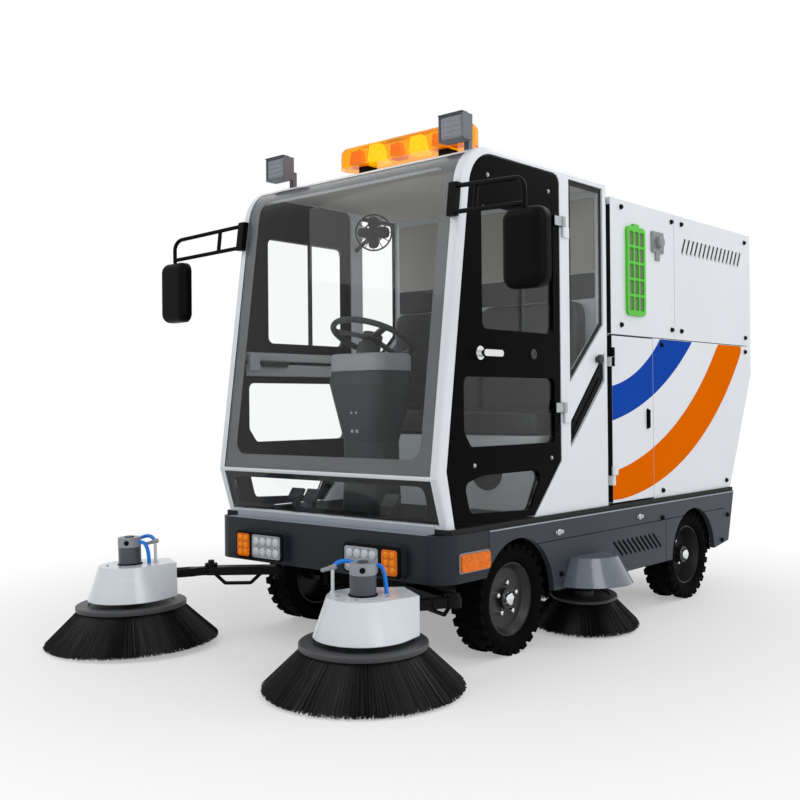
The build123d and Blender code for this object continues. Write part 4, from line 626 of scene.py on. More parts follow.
def showing_rays(tree):
    """One for the rays that show the background: to the camera, in reflections and through glass."""
    rays = add(tree, "ShaderNodeLightPath").outputs
    clear = number(tree, "MAXIMUM", rays["Is Camera Ray"], rays["Is Transmission Ray"])
    return number(tree, "MAXIMUM", clear, rays["Is Glossy Ray"])


floor_paint, tree, shader, spot = blank_material("pale_floor")
reach = add(tree, "ShaderNodeVectorMath", {0: spot}, operation="LENGTH")
fade = add(tree, "ShaderNodeMapRange", {0: reach.outputs["Value"], 1: FADE_NEAR, 2: FADE_FAR, 3: GLOW_NEAR},
           interpolation_type="SMOOTHSTEP")
wire(tree, shader, {"Base Color": srgb("#F4F5F6"), "Roughness": FLOOR_ROUGH})
white = add(tree, "ShaderNodeEmission", {"Color": (1, 1, 1, 1), "Strength": 1.0})
glow = number(tree, "MULTIPLY", fade.outputs[0], showing_rays(tree))
blend = add(tree, "ShaderNodeMixShader", {0: glow, 1: shader.outputs[0], 2: white.outputs[0]})
wire(tree, tree.nodes["Material Output"], {"Surface": blend.outputs[0]})
floor_mesh = bpy.data.meshes.new("floor")
floor_corners = [(x * FLOOR_HALF, y * FLOOR_HALF, -FLOOR_DROP) for x, y in CORNERS]
floor_mesh.from_pydata(floor_corners, [], [range(len(CORNERS))])
floor_mesh.materials.append(floor_paint)
put("floor", floor_mesh)

world = bpy.data.worlds.new("studio")
world.use_nodes = True
scene.world = world
tree = world.node_tree
tree.nodes.clear()
strength = add(tree, "ShaderNodeMapRange", {0: showing_rays(tree), 3: SKY_LIGHT, 4: 1.0})
sky = add(tree, "ShaderNodeBackground", {"Color": (1, 1, 1, 1), "Strength": strength.outputs[0]})
add(tree, "ShaderNodeOutputWorld", {"Surface": sky.outputs[0]})

for i, (place, target, watts) in enumerate(LAMPS):
    lamp_data = bpy.data.lights.new(f"softbox_{i}", "AREA")
    lamp_data.size = SOFTBOX
    lamp_data.energy = watts
    aim = (Vector(target) - Vector(place)).to_track_quat("-Z", "Y")
    put(f"softbox_{i}", lamp_data).matrix_world = Matrix.Translation(place) @ aim.to_matrix().to_4x4()

# Brushes: a plate, a hub and rings of bristles

ARM_PIN = (0.925, 0.400)
INNER_LENGTH = 0.300
OUTER_LENGTH = 0.345
# Side, sign, angle of the inner arm and of the outer arm from straight ahead, outward positive
FRONT_ARMS = [("left", 1, 68.6, -29.4), ("right", -1, 47.5, 25.6)]
FRONT_LEAN = 1.5
FRONT_TIP_R = 0.372
MID_AT = (-0.06, 0.57)
MID_LEAN = 5
MID_TIP_R = 0.255
BRISTLE_ROWS = 3
ROW_WIDE = 0.016
ROOT_INSET = 0.012
TIP_INSET = 0.004
# Shares of the bristles' depth by which each row starts and ends further in
ROOT_STEP = 1 / 2.6
TIP_STEP = 1 / 2.8
BRISTLE_SHARE = 0.985
BRISTLE_SCATTER = 0.035
BRISTLE_R = 0.0013
BRISTLE_SEED = 11
HUB_R = 0.045
HUB_RISE = 0.032
SPINDLE_R = 0.012
SPINDLE_RISE = 0.165
PLATE_LIP = 0.006
FOOT_EASE = 0.002
RIM_EASE = 0.003
TOP_EASE = 0.004
# Shares of the plate's radius where its recess starts and where the floor of the recess does
RECESS_R = 0.78
RECESS_FLOOR_R = 0.77


def brush_place(x, y, sign, lean_deg, tip_r):
    """Road-level place of a brush whose axis leans forward and outward."""
    lean = radians(lean_deg)
    half = sqrt(0.5)
    across = Vector((cos(lean) * half, sign * cos(lean) * half, -sin(lean)))
    axis = Vector((sin(lean) * half, sign * sin(lean) * half, cos(lean)))
    turn = Matrix((across, axis.cross(across), axis)).transposed().to_4x4()
    return Matrix.Translation((x, y, GROUND_GAP + tip_r * sin(lean))) @ turn


brush_places = {}
# Body, solid, place, plate radius, plate height, tip radius, filaments, thickness of the plate and depth of
# the bristles
BRUSHES = []
for name, sign, inner, outer in FRONT_ARMS:
    x = ARM_PIN[0] + INNER_LENGTH * cos(radians(inner)) + OUTER_LENGTH * cos(radians(outer))
    y = ARM_PIN[1] + INNER_LENGTH * sin(radians(inner)) + OUTER_LENGTH * sin(radians(outer))
    brush_places[name] = brush_place(x, sign * y, sign, FRONT_LEAN, FRONT_TIP_R)
    mid_place = brush_place(MID_AT[0], sign * MID_AT[1], sign, MID_LEAN, MID_TIP_R)
    BRUSHES.append((f"brush_{name}", f"front_brush_{name}", brush_places[name],
                    0.234, 0.146, FRONT_TIP_R, 5200, 0.020, 0.085))
    BRUSHES.append((f"mid_brush_{name}", f"mid_brush_{name}", mid_place,
                    0.150, 0.118, MID_TIP_R, 2600, 0.014, 0.065))
for body, node, place, plate_r, plate_z, tip_r, count, thick, depth in BRUSHES:
    on_plate = place @ Matrix.Translation((0, 0, plate_z))
    bundles = []
    for row in range(BRISTLE_ROWS):
        root_r = plate_r - ROOT_INSET - row * depth * ROOT_STEP
        spread = tip_r - TIP_INSET - row * depth * TIP_STEP - root_r
        mesh = grown(BRISTLES, {
            "Count": count // (row + 1), "Ring radius": root_r, "Row width": ROW_WIDE,
            "Length": hypot(spread, plate_z) * BRISTLE_SHARE, "Splay": spread / plate_z,
            "Scatter": BRISTLE_SCATTER, "Thickness": BRISTLE_R, "Seed": BRISTLE_SEED + row,
            "Material": bristle_pp})
        mesh.transform(on_plate)
        bundles.append(mesh)
    piece(f"bristles_{node}", join(*bundles), bristle_pp, body, "bristle", node)
    build(f"plate_{node}", brush_plate, body, lathes=[(
        [(0, 0), (plate_r - FOOT_EASE, 0), (plate_r, RIM_EASE), (plate_r, thick - RIM_EASE),
         (plate_r - TOP_EASE, thick), (plate_r * RECESS_R, thick),
         (plate_r * RECESS_FLOOR_R, thick - PLATE_LIP), (HUB_R, thick - PLATE_LIP),
         (HUB_R, HUB_RISE), (SPINDLE_R, HUB_RISE), (SPINDLE_R, SPINDLE_RISE), (0, SPINDLE_RISE)],
        on_plate, 64)])

# Main roller: rings of bristles out to the drum's radius, on its core

ROLLER_AT = (-0.480, 0, 0.185)
ROLLER_R = 0.180
ROLLER_HALF = 0.400
CORE_R = 0.075
ROLLER_AXLE_R = 0.018
ROLLER_AXLE_HALF = 0.44
ROLLER_ROWS = 26
roller_turn = axis_place(ROLLER_AT, (0, 1, 0))
bundles = []
for row in range(ROLLER_ROWS):
    across = -ROLLER_HALF + (row + 0.5) * 2 * ROLLER_HALF / ROLLER_ROWS
    mesh = grown(BRISTLES, {
        "Count": 240, "Ring radius": CORE_R, "Row width": 0.004, "Length": ROLLER_R - CORE_R - 0.003,
        "Splay": 60.0, "Scatter": 3.0, "Thickness": 0.0017, "Seed": row, "Material": bristle_pp})
    mesh.transform(roller_turn @ Matrix.Translation((0, 0, across)))
    bundles.append(mesh)
piece("bristles_main_roller", join(*bundles), bristle_pp, "roller", "bristle", "main_roller")
core_half = [(0, ROLLER_AXLE_HALF), (ROLLER_AXLE_R, ROLLER_AXLE_HALF), (ROLLER_AXLE_R, ROLLER_HALF),
             (CORE_R, ROLLER_HALF)]
build("core_main_roller", brush_plate, "roller", lathes=[
    ([(r, -h) for r, h in core_half] + core_half[::-1], roller_turn, 40)])

# Vinyl stripes on the lower panels

FILM_FOOT = 0.0001
FILM = 0.0006
STRIPE_STEPS = 40
STRIPE_LEAST = 0.002
STRIPE_TOP = SEAM_Z - 0.004
PANEL_FRONT = -0.214
PANEL_SPLIT = (LOWER_SEAM_X + 0.002, LOWER_SEAM_X - 0.002)
# Name, film, three points on the upper edge and three on the lower edge, as (x, z)
STRIPES = [
    ("blue", blue_film, ((-0.212, 1.100), (-0.418, 1.157), (-0.686, 1.332)),
     ((-0.218, 0.940), (-0.600, 1.053), (-1.043, 1.334))),
    ("orange", orange_film, ((-0.214, 0.701), (-0.745, 0.857), (-1.358, 1.333)),
     ((-0.300, 0.570), (-0.909, 0.713), (-1.694, 1.337))),
]


def arc_height(points, x):
    """Height at x of the circle through three points, on its lower half."""
    (ax, az), (bx, bz), (cx, cz) = points
    d = 2 * (ax * (bz - cz) + bx * (cz - az) + cx * (az - bz))
    a2, b2, c2 = (px * px + pz * pz for px, pz in points)
    ox = (a2 * (bz - cz) + b2 * (cz - az) + c2 * (az - bz)) / d
    oz = (a2 * (cx - bx) + b2 * (ax - cx) + c2 * (bx - ax)) / d
    r = hypot(ax - ox, az - oz)
    return oz - sqrt(max(0.0, r * r - (x - ox) ** 2))


def stripe(upper, lower, start, end, sign):
    """One stretch of a stripe as a thin film on a flank, from start to end along X."""
    shape = bmesh.new()
    rows = []
    for i in range(STRIPE_STEPS + 1):
        x = start + (end - start) * i / STRIPE_STEPS
        low = min(arc_height(lower, x), STRIPE_TOP) if x < lower[0][0] else lower[0][1]
        high = min(arc_height(upper, x), STRIPE_TOP) if x > upper[2][0] else STRIPE_TOP
        if high - low > STRIPE_LEAST:
            rows.append([shape.verts.new((x, sign * (HALF_CAB + lift), z))
                         for lift in (FILM_FOOT, FILM) for z in (low, high)])
    for a, b in zip(rows, rows[1:]):
        for i, j in ((0, 1), (1, 3), (3, 2), (2, 0)):
            shape.faces.new([a[i], a[j], b[j], b[i]])
    for end_row in (rows[0], rows[-1]):
        shape.faces.new([end_row[i] for i in (0, 1, 3, 2)])
    return from_bmesh(shape)


for side, sign in SIDES:
    for colour, film, upper, lower in STRIPES:
        door = stripe(upper, lower, PANEL_FRONT, PANEL_SPLIT[0], sign)
        piece(f"{colour}_stripe_door_{side}", door, film, f"service_{side}")
        panel = stripe(upper, lower, PANEL_SPLIT[1], lower[2][0], sign)
        piece(f"{colour}_stripe_panel_{side}", panel, film)

# Glass: printed borders on the inner faces of the windscreen, the lower front window and the quarter windows

def heading(start, end):
    """Unit direction from one (x, z) point to another."""
    run = hypot(end[0] - start[0], end[1] - start[1])
    return (end[0] - start[0]) / run, (end[1] - start[1]) / run


rise = heading(CAB_KINK, SCREEN_TOP)
bend_back = ROOF_CORNER_R * tan(acos(-rise[0]) / 2)
climb = (SCREEN_FOOT_Z - CAB_KINK[1]) / rise[1]
screen_foot = (CAB_KINK[0] + rise[0] * climb, SCREEN_FOOT_Z)
bend_start = (SCREEN_TOP[0] - rise[0] * bend_back, SCREEN_TOP[1] - rise[1] * bend_back)
bend_centre = (bend_start[0] - rise[1] * ROOF_CORNER_R, bend_start[1] + rise[0] * ROOF_CORNER_R)
bend_from = acos(rise[1])
bend_to = acos((GLASS_END_X - bend_centre[0]) / ROOF_CORNER_R)
straight = hypot(bend_start[0] - screen_foot[0], bend_start[1] - screen_foot[1])
screen_length = straight + ROOF_CORNER_R * (bend_to - bend_from)


def on_screen(u, v, h):
    """Point on the windscreen at a distance across, a distance up along the glass and a height above it."""
    if v <= straight:
        facing = (rise[1], -rise[0])
        spot = (screen_foot[0] + rise[0] * v, screen_foot[1] + rise[1] * v)
    else:
        turn = bend_from + (v - straight) / ROOF_CORNER_R
        facing = (cos(turn), sin(turn))
        spot = (bend_centre[0] + ROOF_CORNER_R * facing[0], bend_centre[1] + ROOF_CORNER_R * facing[1])
    return Vector((spot[0] + facing[0] * h, u, spot[1] + facing[1] * h))


nose_lean = heading(CAB_FOOT, CAB_KINK)
nose_length = (NOSE_GLASS[1] - NOSE_GLASS[0]) / nose_lean[1]


def on_nose(u, v, h):
    """Point on the lower front window, as on the windscreen."""
    up = (NOSE_GLASS[0] - CAB_FOOT[1]) / nose_lean[1] + v
    x = CAB_FOOT[0] + nose_lean[0] * up + nose_lean[1] * h
    return Vector((x, u, CAB_FOOT[1] + nose_lean[1] * up - nose_lean[0] * h))


PRINT_LOW = -GLASS - 0.0012
PRINT_HIGH = -GLASS - 0.0003
PRINT_GAP = 0.003
# Name, finish, length of the glass, border at the sides, border at the foot and head, corner radius, surface
PRINTS = [
    ("screen_border", ceramic_frit, screen_length, 0.062, 0.062, 0.060, on_screen),
    ("lower_window_border", black_frit, nose_length, 0.046, 0.026, 0.032, on_nose),
]
for name, look, length, aside, above, corner_r, surface_at in PRINTS:
    middle = (0, length / 2)
    clear = rounded((2 * (CAB_INNER - aside), length - 2 * above), corner_r, middle, 8, 24)
    edge = rounded((2 * CAB_INNER - PRINT_GAP, length - PRINT_GAP), 0.001, middle, 8, 24)
    build(name, look, bands=[(clear, edge, surface_at, PRINT_LOW, PRINT_HIGH)])

QUARTER_EDGE = [(0.1465, 2.0015), (-0.1385, 2.0015), (-0.1365, 1.3797), (0.1465, 1.1155)]
QUARTER_CLEAR = [(0.124, 1.979), (-0.116, 1.979), (-0.114, 1.3894), (0.124, 1.1672)]
for side, sign in SIDES:
    place = flank_place(sign)
    build(f"quarter_border_{side}", black_frit, bands=[(
        QUARTER_CLEAR, QUARTER_EDGE, lambda u, v, h: place @ Vector((u, v, h)), PRINT_LOW, PRINT_HIGH)])

# Cab linings: headlining, upper rear board and the dark board behind the seat backs

HEADLINING_Z = 2.005
LINING_FOOT = 0.0003
down_from_roof = Matrix.Translation((0, 0, HEADLINING_Z)) @ Matrix.Diagonal((1, 1, -1, 1))
# Name, finish, place, middle, size, corner radius and thickness
LININGS = [
    ("headlining", headlining, down_from_roof, (0.290, 0), (0.840, 1.180), 0.02, 0.004),
    ("cab_rear_lining", lining_board, front_place(WALL_FACE), (0, 1.800), (1.190, 0.340), 0.02, 0.004),
    ("cab_back_board", seat_vinyl, front_place(WALL_FACE), (0, 1.565), (1.190, 0.118), 0.01, 0.006),
]
for name, look, place, at, size, corner_r, thick in LININGS:
    build(name, look, plates=[(place, at, size, corner_r, LINING_FOOT, thick)])

# Bench: four crowned cushions

PAD_RINGS = 24
PAD_STEPS = 64
PAD_POWER = 0.20
PAD_SMOOTH = 60
SIDE_PULL = 0.02
CROWN = 0.20
CROWN_POWER = 0.6


def squared(value):
    """A sine or cosine pushed towards one or minus one, which makes a round form boxy."""
    return abs(value) ** PAD_POWER * (1 if value > 0 else -1)


def cushion(low, high, upright):
    """A crowned cushion in a box: it swells on its open face, pulls in at its sides and rests flat."""
    shape = bmesh.new()
    loops = []
    for i in range(PAD_RINGS + 1):
        lift = -pi / 2 + pi * i / PAD_RINGS
        loop = []
        for j in range(PAD_STEPS):
            turn = 2 * pi * j / PAD_STEPS
            level = abs(cos(lift)) ** PAD_POWER
            a = level * squared(cos(turn))
            b = level * squared(sin(turn))
            c = squared(sin(lift))
            a, b = a * (1 - SIDE_PULL * (1 - b * b)), b * (1 - SIDE_PULL * (1 - a * a))
            if c > 0:
                c *= 1 - CROWN + CROWN * (1 - a * a) ** CROWN_POWER * (1 - b * b) ** CROWN_POWER
            local = (c, b, a) if upright else (a, b, c)
            corner = [(l + h) / 2 + p * (h - l) / 2 for l, h, p in zip(low, high, local)]
            loop.append(shape.verts.new(corner))
        loops.append(loop)
    for here, there in zip(loops, loops[1:]):
        for j in range(PAD_STEPS):
            k = (j + 1) % PAD_STEPS
            shape.faces.new([here[j], here[k], there[k], there[j]])
    return from_bmesh(shape, PAD_SMOOTH)


# Name, lowest corner and highest corner on the left, whether it stands upright
PADS = [
    ("seat_cushion", (-0.026, 0.004, 0.8805), (0.305, 0.556, 1.0), False),
    ("back_cushion", (-0.1395, 0.004, 0.8805), (-0.032, 0.556, 1.499), True),
]
stand_ins = ["bench_pads"]
for side, sign in SIDES:
    for name, low, high, upright in PADS:
        across = sorted((sign * low[1], sign * high[1]))
        mesh = cushion((low[0], across[0], low[2]), (high[0], across[1], high[2]), upright)
        pad = piece(f"{name}_{side}", mesh, seat_vinyl, "chassis", "seat_vinyl", *stand_ins)
        stand_ins = []

# Cab doors: rail, grip and latch box inside, slide bar of the upper window, bolts and lock

SLIDER_AT = (0.494, 1.5635)
SLIDER_Y = 0.6312
LOCK_AT = (0.434, 1.226)
LOCK_RINGS = [(0, 0), (0.021, 0), (0.021, 0.004), (0.018, 0.007), (0.009, 0.007), (0.008, 0.004),
              (0, 0.004)]
DOOR_BOLTS = [(0.742, 1.924), (0.310, 1.924), (0.843, 0.783), (0.302, 0.790)]
for side, sign in SIDES:
    door = f"door_{side}"
    inside = flank_place(sign, DOOR_INNER, -1)
    build(f"door_rail_{side}", light_grey_enamel, door, plates=[
        (inside, (0.590, 1.250), (0.670, 0.040), 0.006, LINING_FOOT, 0.020, 0.004),
        (inside, (0.590, 1.188), (0.670, 0.056), 0.006, LINING_FOOT, 0.014, 0.004),
        (inside, (0.895, 1.222), (0.060, 0.080), 0.008, 0.014, 0.036, 0.005)])
    build(f"door_grip_and_slide_bar_{side}", dark_abs, door, plates=[
        (inside, (0.770, 1.216), (0.150, 0.026), 0.010, 0.014, 0.044, 0.006),
        (flank_place(sign, SLIDER_Y), SLIDER_AT, (0.026, 0.500), 0.003, 0.0, 0.006, 0.002)])
    copies(f"door_bolts_{side}", zinc_steel, [(x, sign * HALF_CAB, z) for x, z in DOOR_BOLTS],
           hex_head(0.012, 0.006), outward(sign), door)
    build(f"door_lock_{side}", dark_abs, door, lathes=[
        (LOCK_RINGS, axis_place((LOCK_AT[0], sign * HALF_CAB, LOCK_AT[1]), (0, sign, 0)), 28)])

# Pedestal: a lid round the column, and two pairs of bolts on its front

LID_X = 0.735
LID = rounded((0.240, 0.322), 0.062)
LID_TOP = rounded((0.222, 0.304), 0.055)
build("pedestal_lid", grey_abs, slot="black_plastic", stacks=[
    ([(LID, 1.168), (LID, 1.228), (LID_TOP, 1.242)], Matrix.Translation((LID_X, 0, 0)))])
PEDESTAL_FRONT = 0.838
PEDESTAL_BOLTS_Y = (-0.014, 0.014)
PEDESTAL_BOLTS_Z = (0.989, 0.909)
pedestal_bolts = [(PEDESTAL_FRONT, y, z) for y in PEDESTAL_BOLTS_Y for z in PEDESTAL_BOLTS_Z]
copies("pedestal_bolts", zinc_steel, pedestal_bolts, hex_head(0.011, 0.008), FORWARD)

# Seat base: round vent in its front

VENT_AT = (0.305, 0.300, 0.720)
VENT_SLATS = 5
VENT_PITCH = 0.024
VENT_FIRST = 0.672
VENT_SLAT = (0.110, 0.010)
VENT_FACE = 0.004
slats = [VENT_FIRST + k * VENT_PITCH for k in range(VENT_SLATS)]
build("seat_base_vent", black_abs, lathes=[
    ([(0, 0), (0.085, 0), (0.085, VENT_FACE), (0.076, 0.008), (0.070, VENT_FACE), (0, VENT_FACE)],
     axis_place(VENT_AT, (1, 0, 0)), 40)],
    plates=[(front_place(VENT_AT[0] + VENT_FACE), (VENT_AT[1], z), VENT_SLAT, 0.004, 0.0, 0.006)
            for z in slats])

# Fan: blades behind its guard

FAN_AT = (0.385, -0.300, 1.850)
FAN_YAW = radians(40)
BLADES = 4
BLADE = rounded((0.062, 0.058), 0.022)
BLADE_OUT = 0.045
BLADE_TWIST = radians(28)
BLADE_HALF = 0.001
fan_place = axis_place(FAN_AT, (cos(FAN_YAW), sin(FAN_YAW), 0))
twist = Matrix.Translation((BLADE_OUT, 0, 0)) @ Matrix.Rotation(BLADE_TWIST, 4, "X")
blade_turns = [Matrix.Rotation(2 * pi * k / BLADES, 4, "Z") for k in range(BLADES)]
build("fan_blades", black_abs, stacks=[
    ([(BLADE, -BLADE_HALF), (BLADE, BLADE_HALF)], fan_place @ turn @ twist) for turn in blade_turns])

# Lamps: cells of the front lamps, indicators and work lamps, with their frames and bezels

LAMP_FACE = 1.105
POD_FACE = 1.093
LAMP_Z = 0.419
WORK_FACE = 0.813
WORK_Y = 0.520
WORK_Z = 2.120
VISOR_X = 0.806
VISOR = rounded((0.040, 0.126), 0.004)
VISOR_UP = 0.052
VISOR_THICK = 0.003
# Middle, from the lamp's middle, and size of each side of a work lamp's bezel
WORK_RIMS = [((0, -0.049), (0.124, 0.006)), ((0, 0.049), (0.124, 0.006)), ((-0.059, 0), (0.006, 0.104)),
             ((0.059, 0), (0.006, 0.104))]
LAMP_FOOT = 0.0002
DOME = [(0, 0), (1.0, 0), (1.0, 0.10), (0.86, 0.24), (0.60, 0.36), (0.30, 0.43), (0, 0.45)]
# Name, finish, place across and up, face, cells across and up, pitch across and up, cell radius
CELLS = [
    ("headlamp_cells", led_cell, (0.280, LAMP_Z), LAMP_FACE, (4, 2), (0.041, 0.044), 0.0175),
    ("indicator_cells", amber_cell, (0.428, LAMP_Z), LAMP_FACE, (2, 3), (0.034, 0.030), 0.0125),
    ("work_lamp_cells", work_cell, (WORK_Y, WORK_Z), WORK_FACE + 0.002, (6, 4), (0.0172, 0.0205), 0.0078),
]
for side, sign in SIDES:
    for name, look, at, face, counts, pitch, radius in CELLS:
        points = []
        for i in range(counts[0]):
            for j in range(counts[1]):
                points.append((face, sign * at[0] + (i - (counts[0] - 1) / 2) * pitch[0],
                               at[1] + (j - (counts[1] - 1) / 2) * pitch[1]))
        dome = turned([(r * radius, h * radius) for r, h in DOME], 14)
        copies(f"{name}_{side}", look, points, dome, FORWARD)
    build(f"marker_bezel_{side}", grey_abs, plates=[
        (flank_place(sign, HALF_SKIRT), (0.875, LAMP_Z), (0.192, 0.078), 0.012, LAMP_FOOT, 0.004)])
    build(f"lamp_frame_{side}", black_abs, slot="lamp_housing", plates=[
        (front_place(POD_FACE), (sign * 0.330, 0.420), (0.302, 0.122), 0.018, LAMP_FOOT, 0.009, 0.004)])
    work = front_place(WORK_FACE)
    build(f"work_lamp_reflector_{side}", lamp_silver, plates=[
        (work, (sign * WORK_Y, WORK_Z), (0.110, 0.090), 0.006, LAMP_FOOT, 0.0025)])
    visor_place = Matrix.Translation((VISOR_X, sign * WORK_Y, WORK_Z + VISOR_UP))
    build(f"work_lamp_bezel_{side}", lamp_grey, stacks=[([(VISOR, 0.0), (VISOR, VISOR_THICK)], visor_place)],
          plates=[(work, (sign * WORK_Y + y, WORK_Z + z), size, 0.002, 0.0, 0.008)
                  for (y, z), size in WORK_RIMS])

# Beacon: reflectors inside and covers on its feet

BEACON_AT = (0.485, 0, 2.186)
FOOT_COVER = (0.074, 0.054)
FOOT_Y = 0.240
FOOT_GAP = 0.0002
ROOF_Z = 2.035
BEACON_FOOT_Z = 2.136
REFLECTOR_R = 0.012
REFLECTOR_TAPER = 0.8
# Place across, width, height, depth and finish of each reflector
REFLECTORS = [
    (-0.290, 0.080, 0.056, 0.060, amber_cell), (-0.165, 0.085, 0.070, 0.080, beacon_yellow),
    (-0.040, 0.070, 0.050, 0.060, amber_cell), (0.085, 0.085, 0.064, 0.070, beacon_yellow),
    (0.205, 0.070, 0.050, 0.060, amber_cell), (0.305, 0.070, 0.056, 0.060, amber_cell),
]
for i, (across, width, height, depth, look) in enumerate(REFLECTORS):
    foot = rounded((depth, width), REFLECTOR_R, (0, across))
    head = rounded((depth * REFLECTOR_TAPER, width * REFLECTOR_TAPER), REFLECTOR_R, (0, across))
    build(f"beacon_reflector_{i}", look, stacks=[
        ([(foot, -height / 2), (head, height / 2)], Matrix.Translation(BEACON_AT))])
feet = [rounded(FOOT_COVER, 0.004, (BEACON_AT[0], sign * FOOT_Y)) for side, sign in SIDES]
build("beacon_foot_covers", black_abs, stacks=[
    ([(foot, ROOF_Z + FOOT_GAP), (foot, BEACON_FOOT_Z - FOOT_GAP)], Matrix.Identity(4)) for foot in feet])

# Front: aluminium strip over the bumper. On the flanks, a light line under the deck's edge: a painted
# highlight along the skirts' top edge

STRIP = [(1.0068, 0.5283), (1.060, 0.5283), (1.060, 0.5313), (1.0102, 0.5313), (1.0102, 0.5560),
         (1.0068, 0.5560)]
STRIP_HALF = 0.575
# Painted highlight: thin light strip along the top edge of each skirt
HIGHLIGHT_LINE_AT = (-0.360, 0.5235)
HIGHLIGHT_LINE_SIZE = (2.270, 0.005)
build("deck_trim", aluminium_and_painted_highlight, stacks=[([(STRIP, -STRIP_HALF), (STRIP, STRIP_HALF)], flank_place(1, 0))],
      plates=[(flank_place(sign, HALF_SKIRT), HIGHLIGHT_LINE_AT, HIGHLIGHT_LINE_SIZE, 0.001, 0.0001, 0.0016, 0.0005)
              for side, sign in SIDES])

# Gasket between the cab and the body: three ribs on each flank and over the top

RIB_COUNT = 3
RIB_FIRST = -0.203
RIB_PITCH = 0.013
RIB_WIDE = 0.012
# Corner radius, foot, top and eased edge
RIB = (0.004, 0.0, 0.012, 0.004)
RIB_Y = 0.612
RIB_MID_Z = 1.262
RIB_TALL = 1.420
RIB_TOP_Z = 1.952
RIB_ACROSS = 1.224
RIBS = [RIB_FIRST + k * RIB_PITCH for k in range(RIB_COUNT)]
gasket = [(flank_place(sign, RIB_Y), (x, RIB_MID_Z), (RIB_WIDE, RIB_TALL), *RIB)
          for side, sign in SIDES for x in RIBS]
gasket += [(Matrix.Translation((0, 0, RIB_TOP_Z)), (x, 0), (RIB_WIDE, RIB_ACROSS), *RIB) for x in RIBS]
build("cab_gasket", seal_rubber, plates=gasket)

# Body: panel knobs, catches, pressed louvres, filter felt, vents and handles

KNOBS = [(-0.309, 1.944), (-0.821, 1.938), (-0.304, 1.388), (-0.818, 1.389), (-0.932, 1.939), (-1.724, 1.933),
         (-0.924, 1.387), (-1.728, 1.387), (-1.723, 1.306), (-0.704, 1.308), (-0.704, 0.582), (-1.452, 0.588)]
SKIRT_KNOBS = [(-0.656, 0.452), (-1.417, 0.401), (-1.343, 0.270), (0.267, 0.294)]
KNOB_RINGS = [(0, 0), (0.013, 0), (0.013, 0.002), (0.0105, 0.004), (0.0105, 0.009), (0.008, 0.0115),
              (0, 0.012)]
CATCHES = [(-0.430, 0.476), (0.277, 0.472)]
LATCH_AT = (-0.079, 1.219)
LATCH_RINGS = [(0, 0), (0.014, 0), (0.014, 0.012), (0.022, 0.014), (0.022, 0.024), (0.018, 0.028), (0, 0.028)]
HANDLE_AT = (-0.554, 0.942)
VENT_Z = 1.037
VENT_BACK = [(0.144, 0.938), (-0.145, 1.250), (-0.145, 1.127), (0.144, 0.831)]
VENT_LINE = ((0.144, 0.885), (-0.145, 1.189))
VENT_DEPTHS = (-0.0135, -0.008)
SLAT_DEPTHS = (-0.0082, -0.0040)
SLAT_HALF = 0.165
SLAT_HIGH = 0.009
SLAT_STEP = 0.028
LOUVRES = 15
LOUVRE_FIRST = -0.965
LOUVRE_PITCH = -0.0493
LOUVRE_Z = 1.827
LOUVRE_LEAN = Matrix.Rotation(radians(27), 4, "Z")
LOUVRE_FOOT = rounded((0.020, 0.092), 0.008, (-0.004, 0))
LOUVRE_TOP = rounded((0.012, 0.084), 0.005, (-0.001, 0))
BODY_FOOT = 0.0002
ISOLATOR_X = (-0.712, -0.616)
ISOLATOR_Z = (1.775, 1.855)
ISOLATOR_OUT = 0.008
slope = heading(*VENT_LINE)
slat_run = (slope[0] * SLAT_HALF, slope[1] * SLAT_HALF)
slat_rise = (-slope[1] * SLAT_HIGH, slope[0] * SLAT_HIGH)
vent_layers = [[(VENT_BACK, depth) for depth in VENT_DEPTHS]]
for level in (-SLAT_STEP, SLAT_STEP):
    slat = [(s * slat_run[0] + t * slat_rise[0], VENT_Z + level + s * slat_run[1] + t * slat_rise[1])
            for s, t in CORNERS]
    vent_layers.append([(slat, depth) for depth in SLAT_DEPTHS])
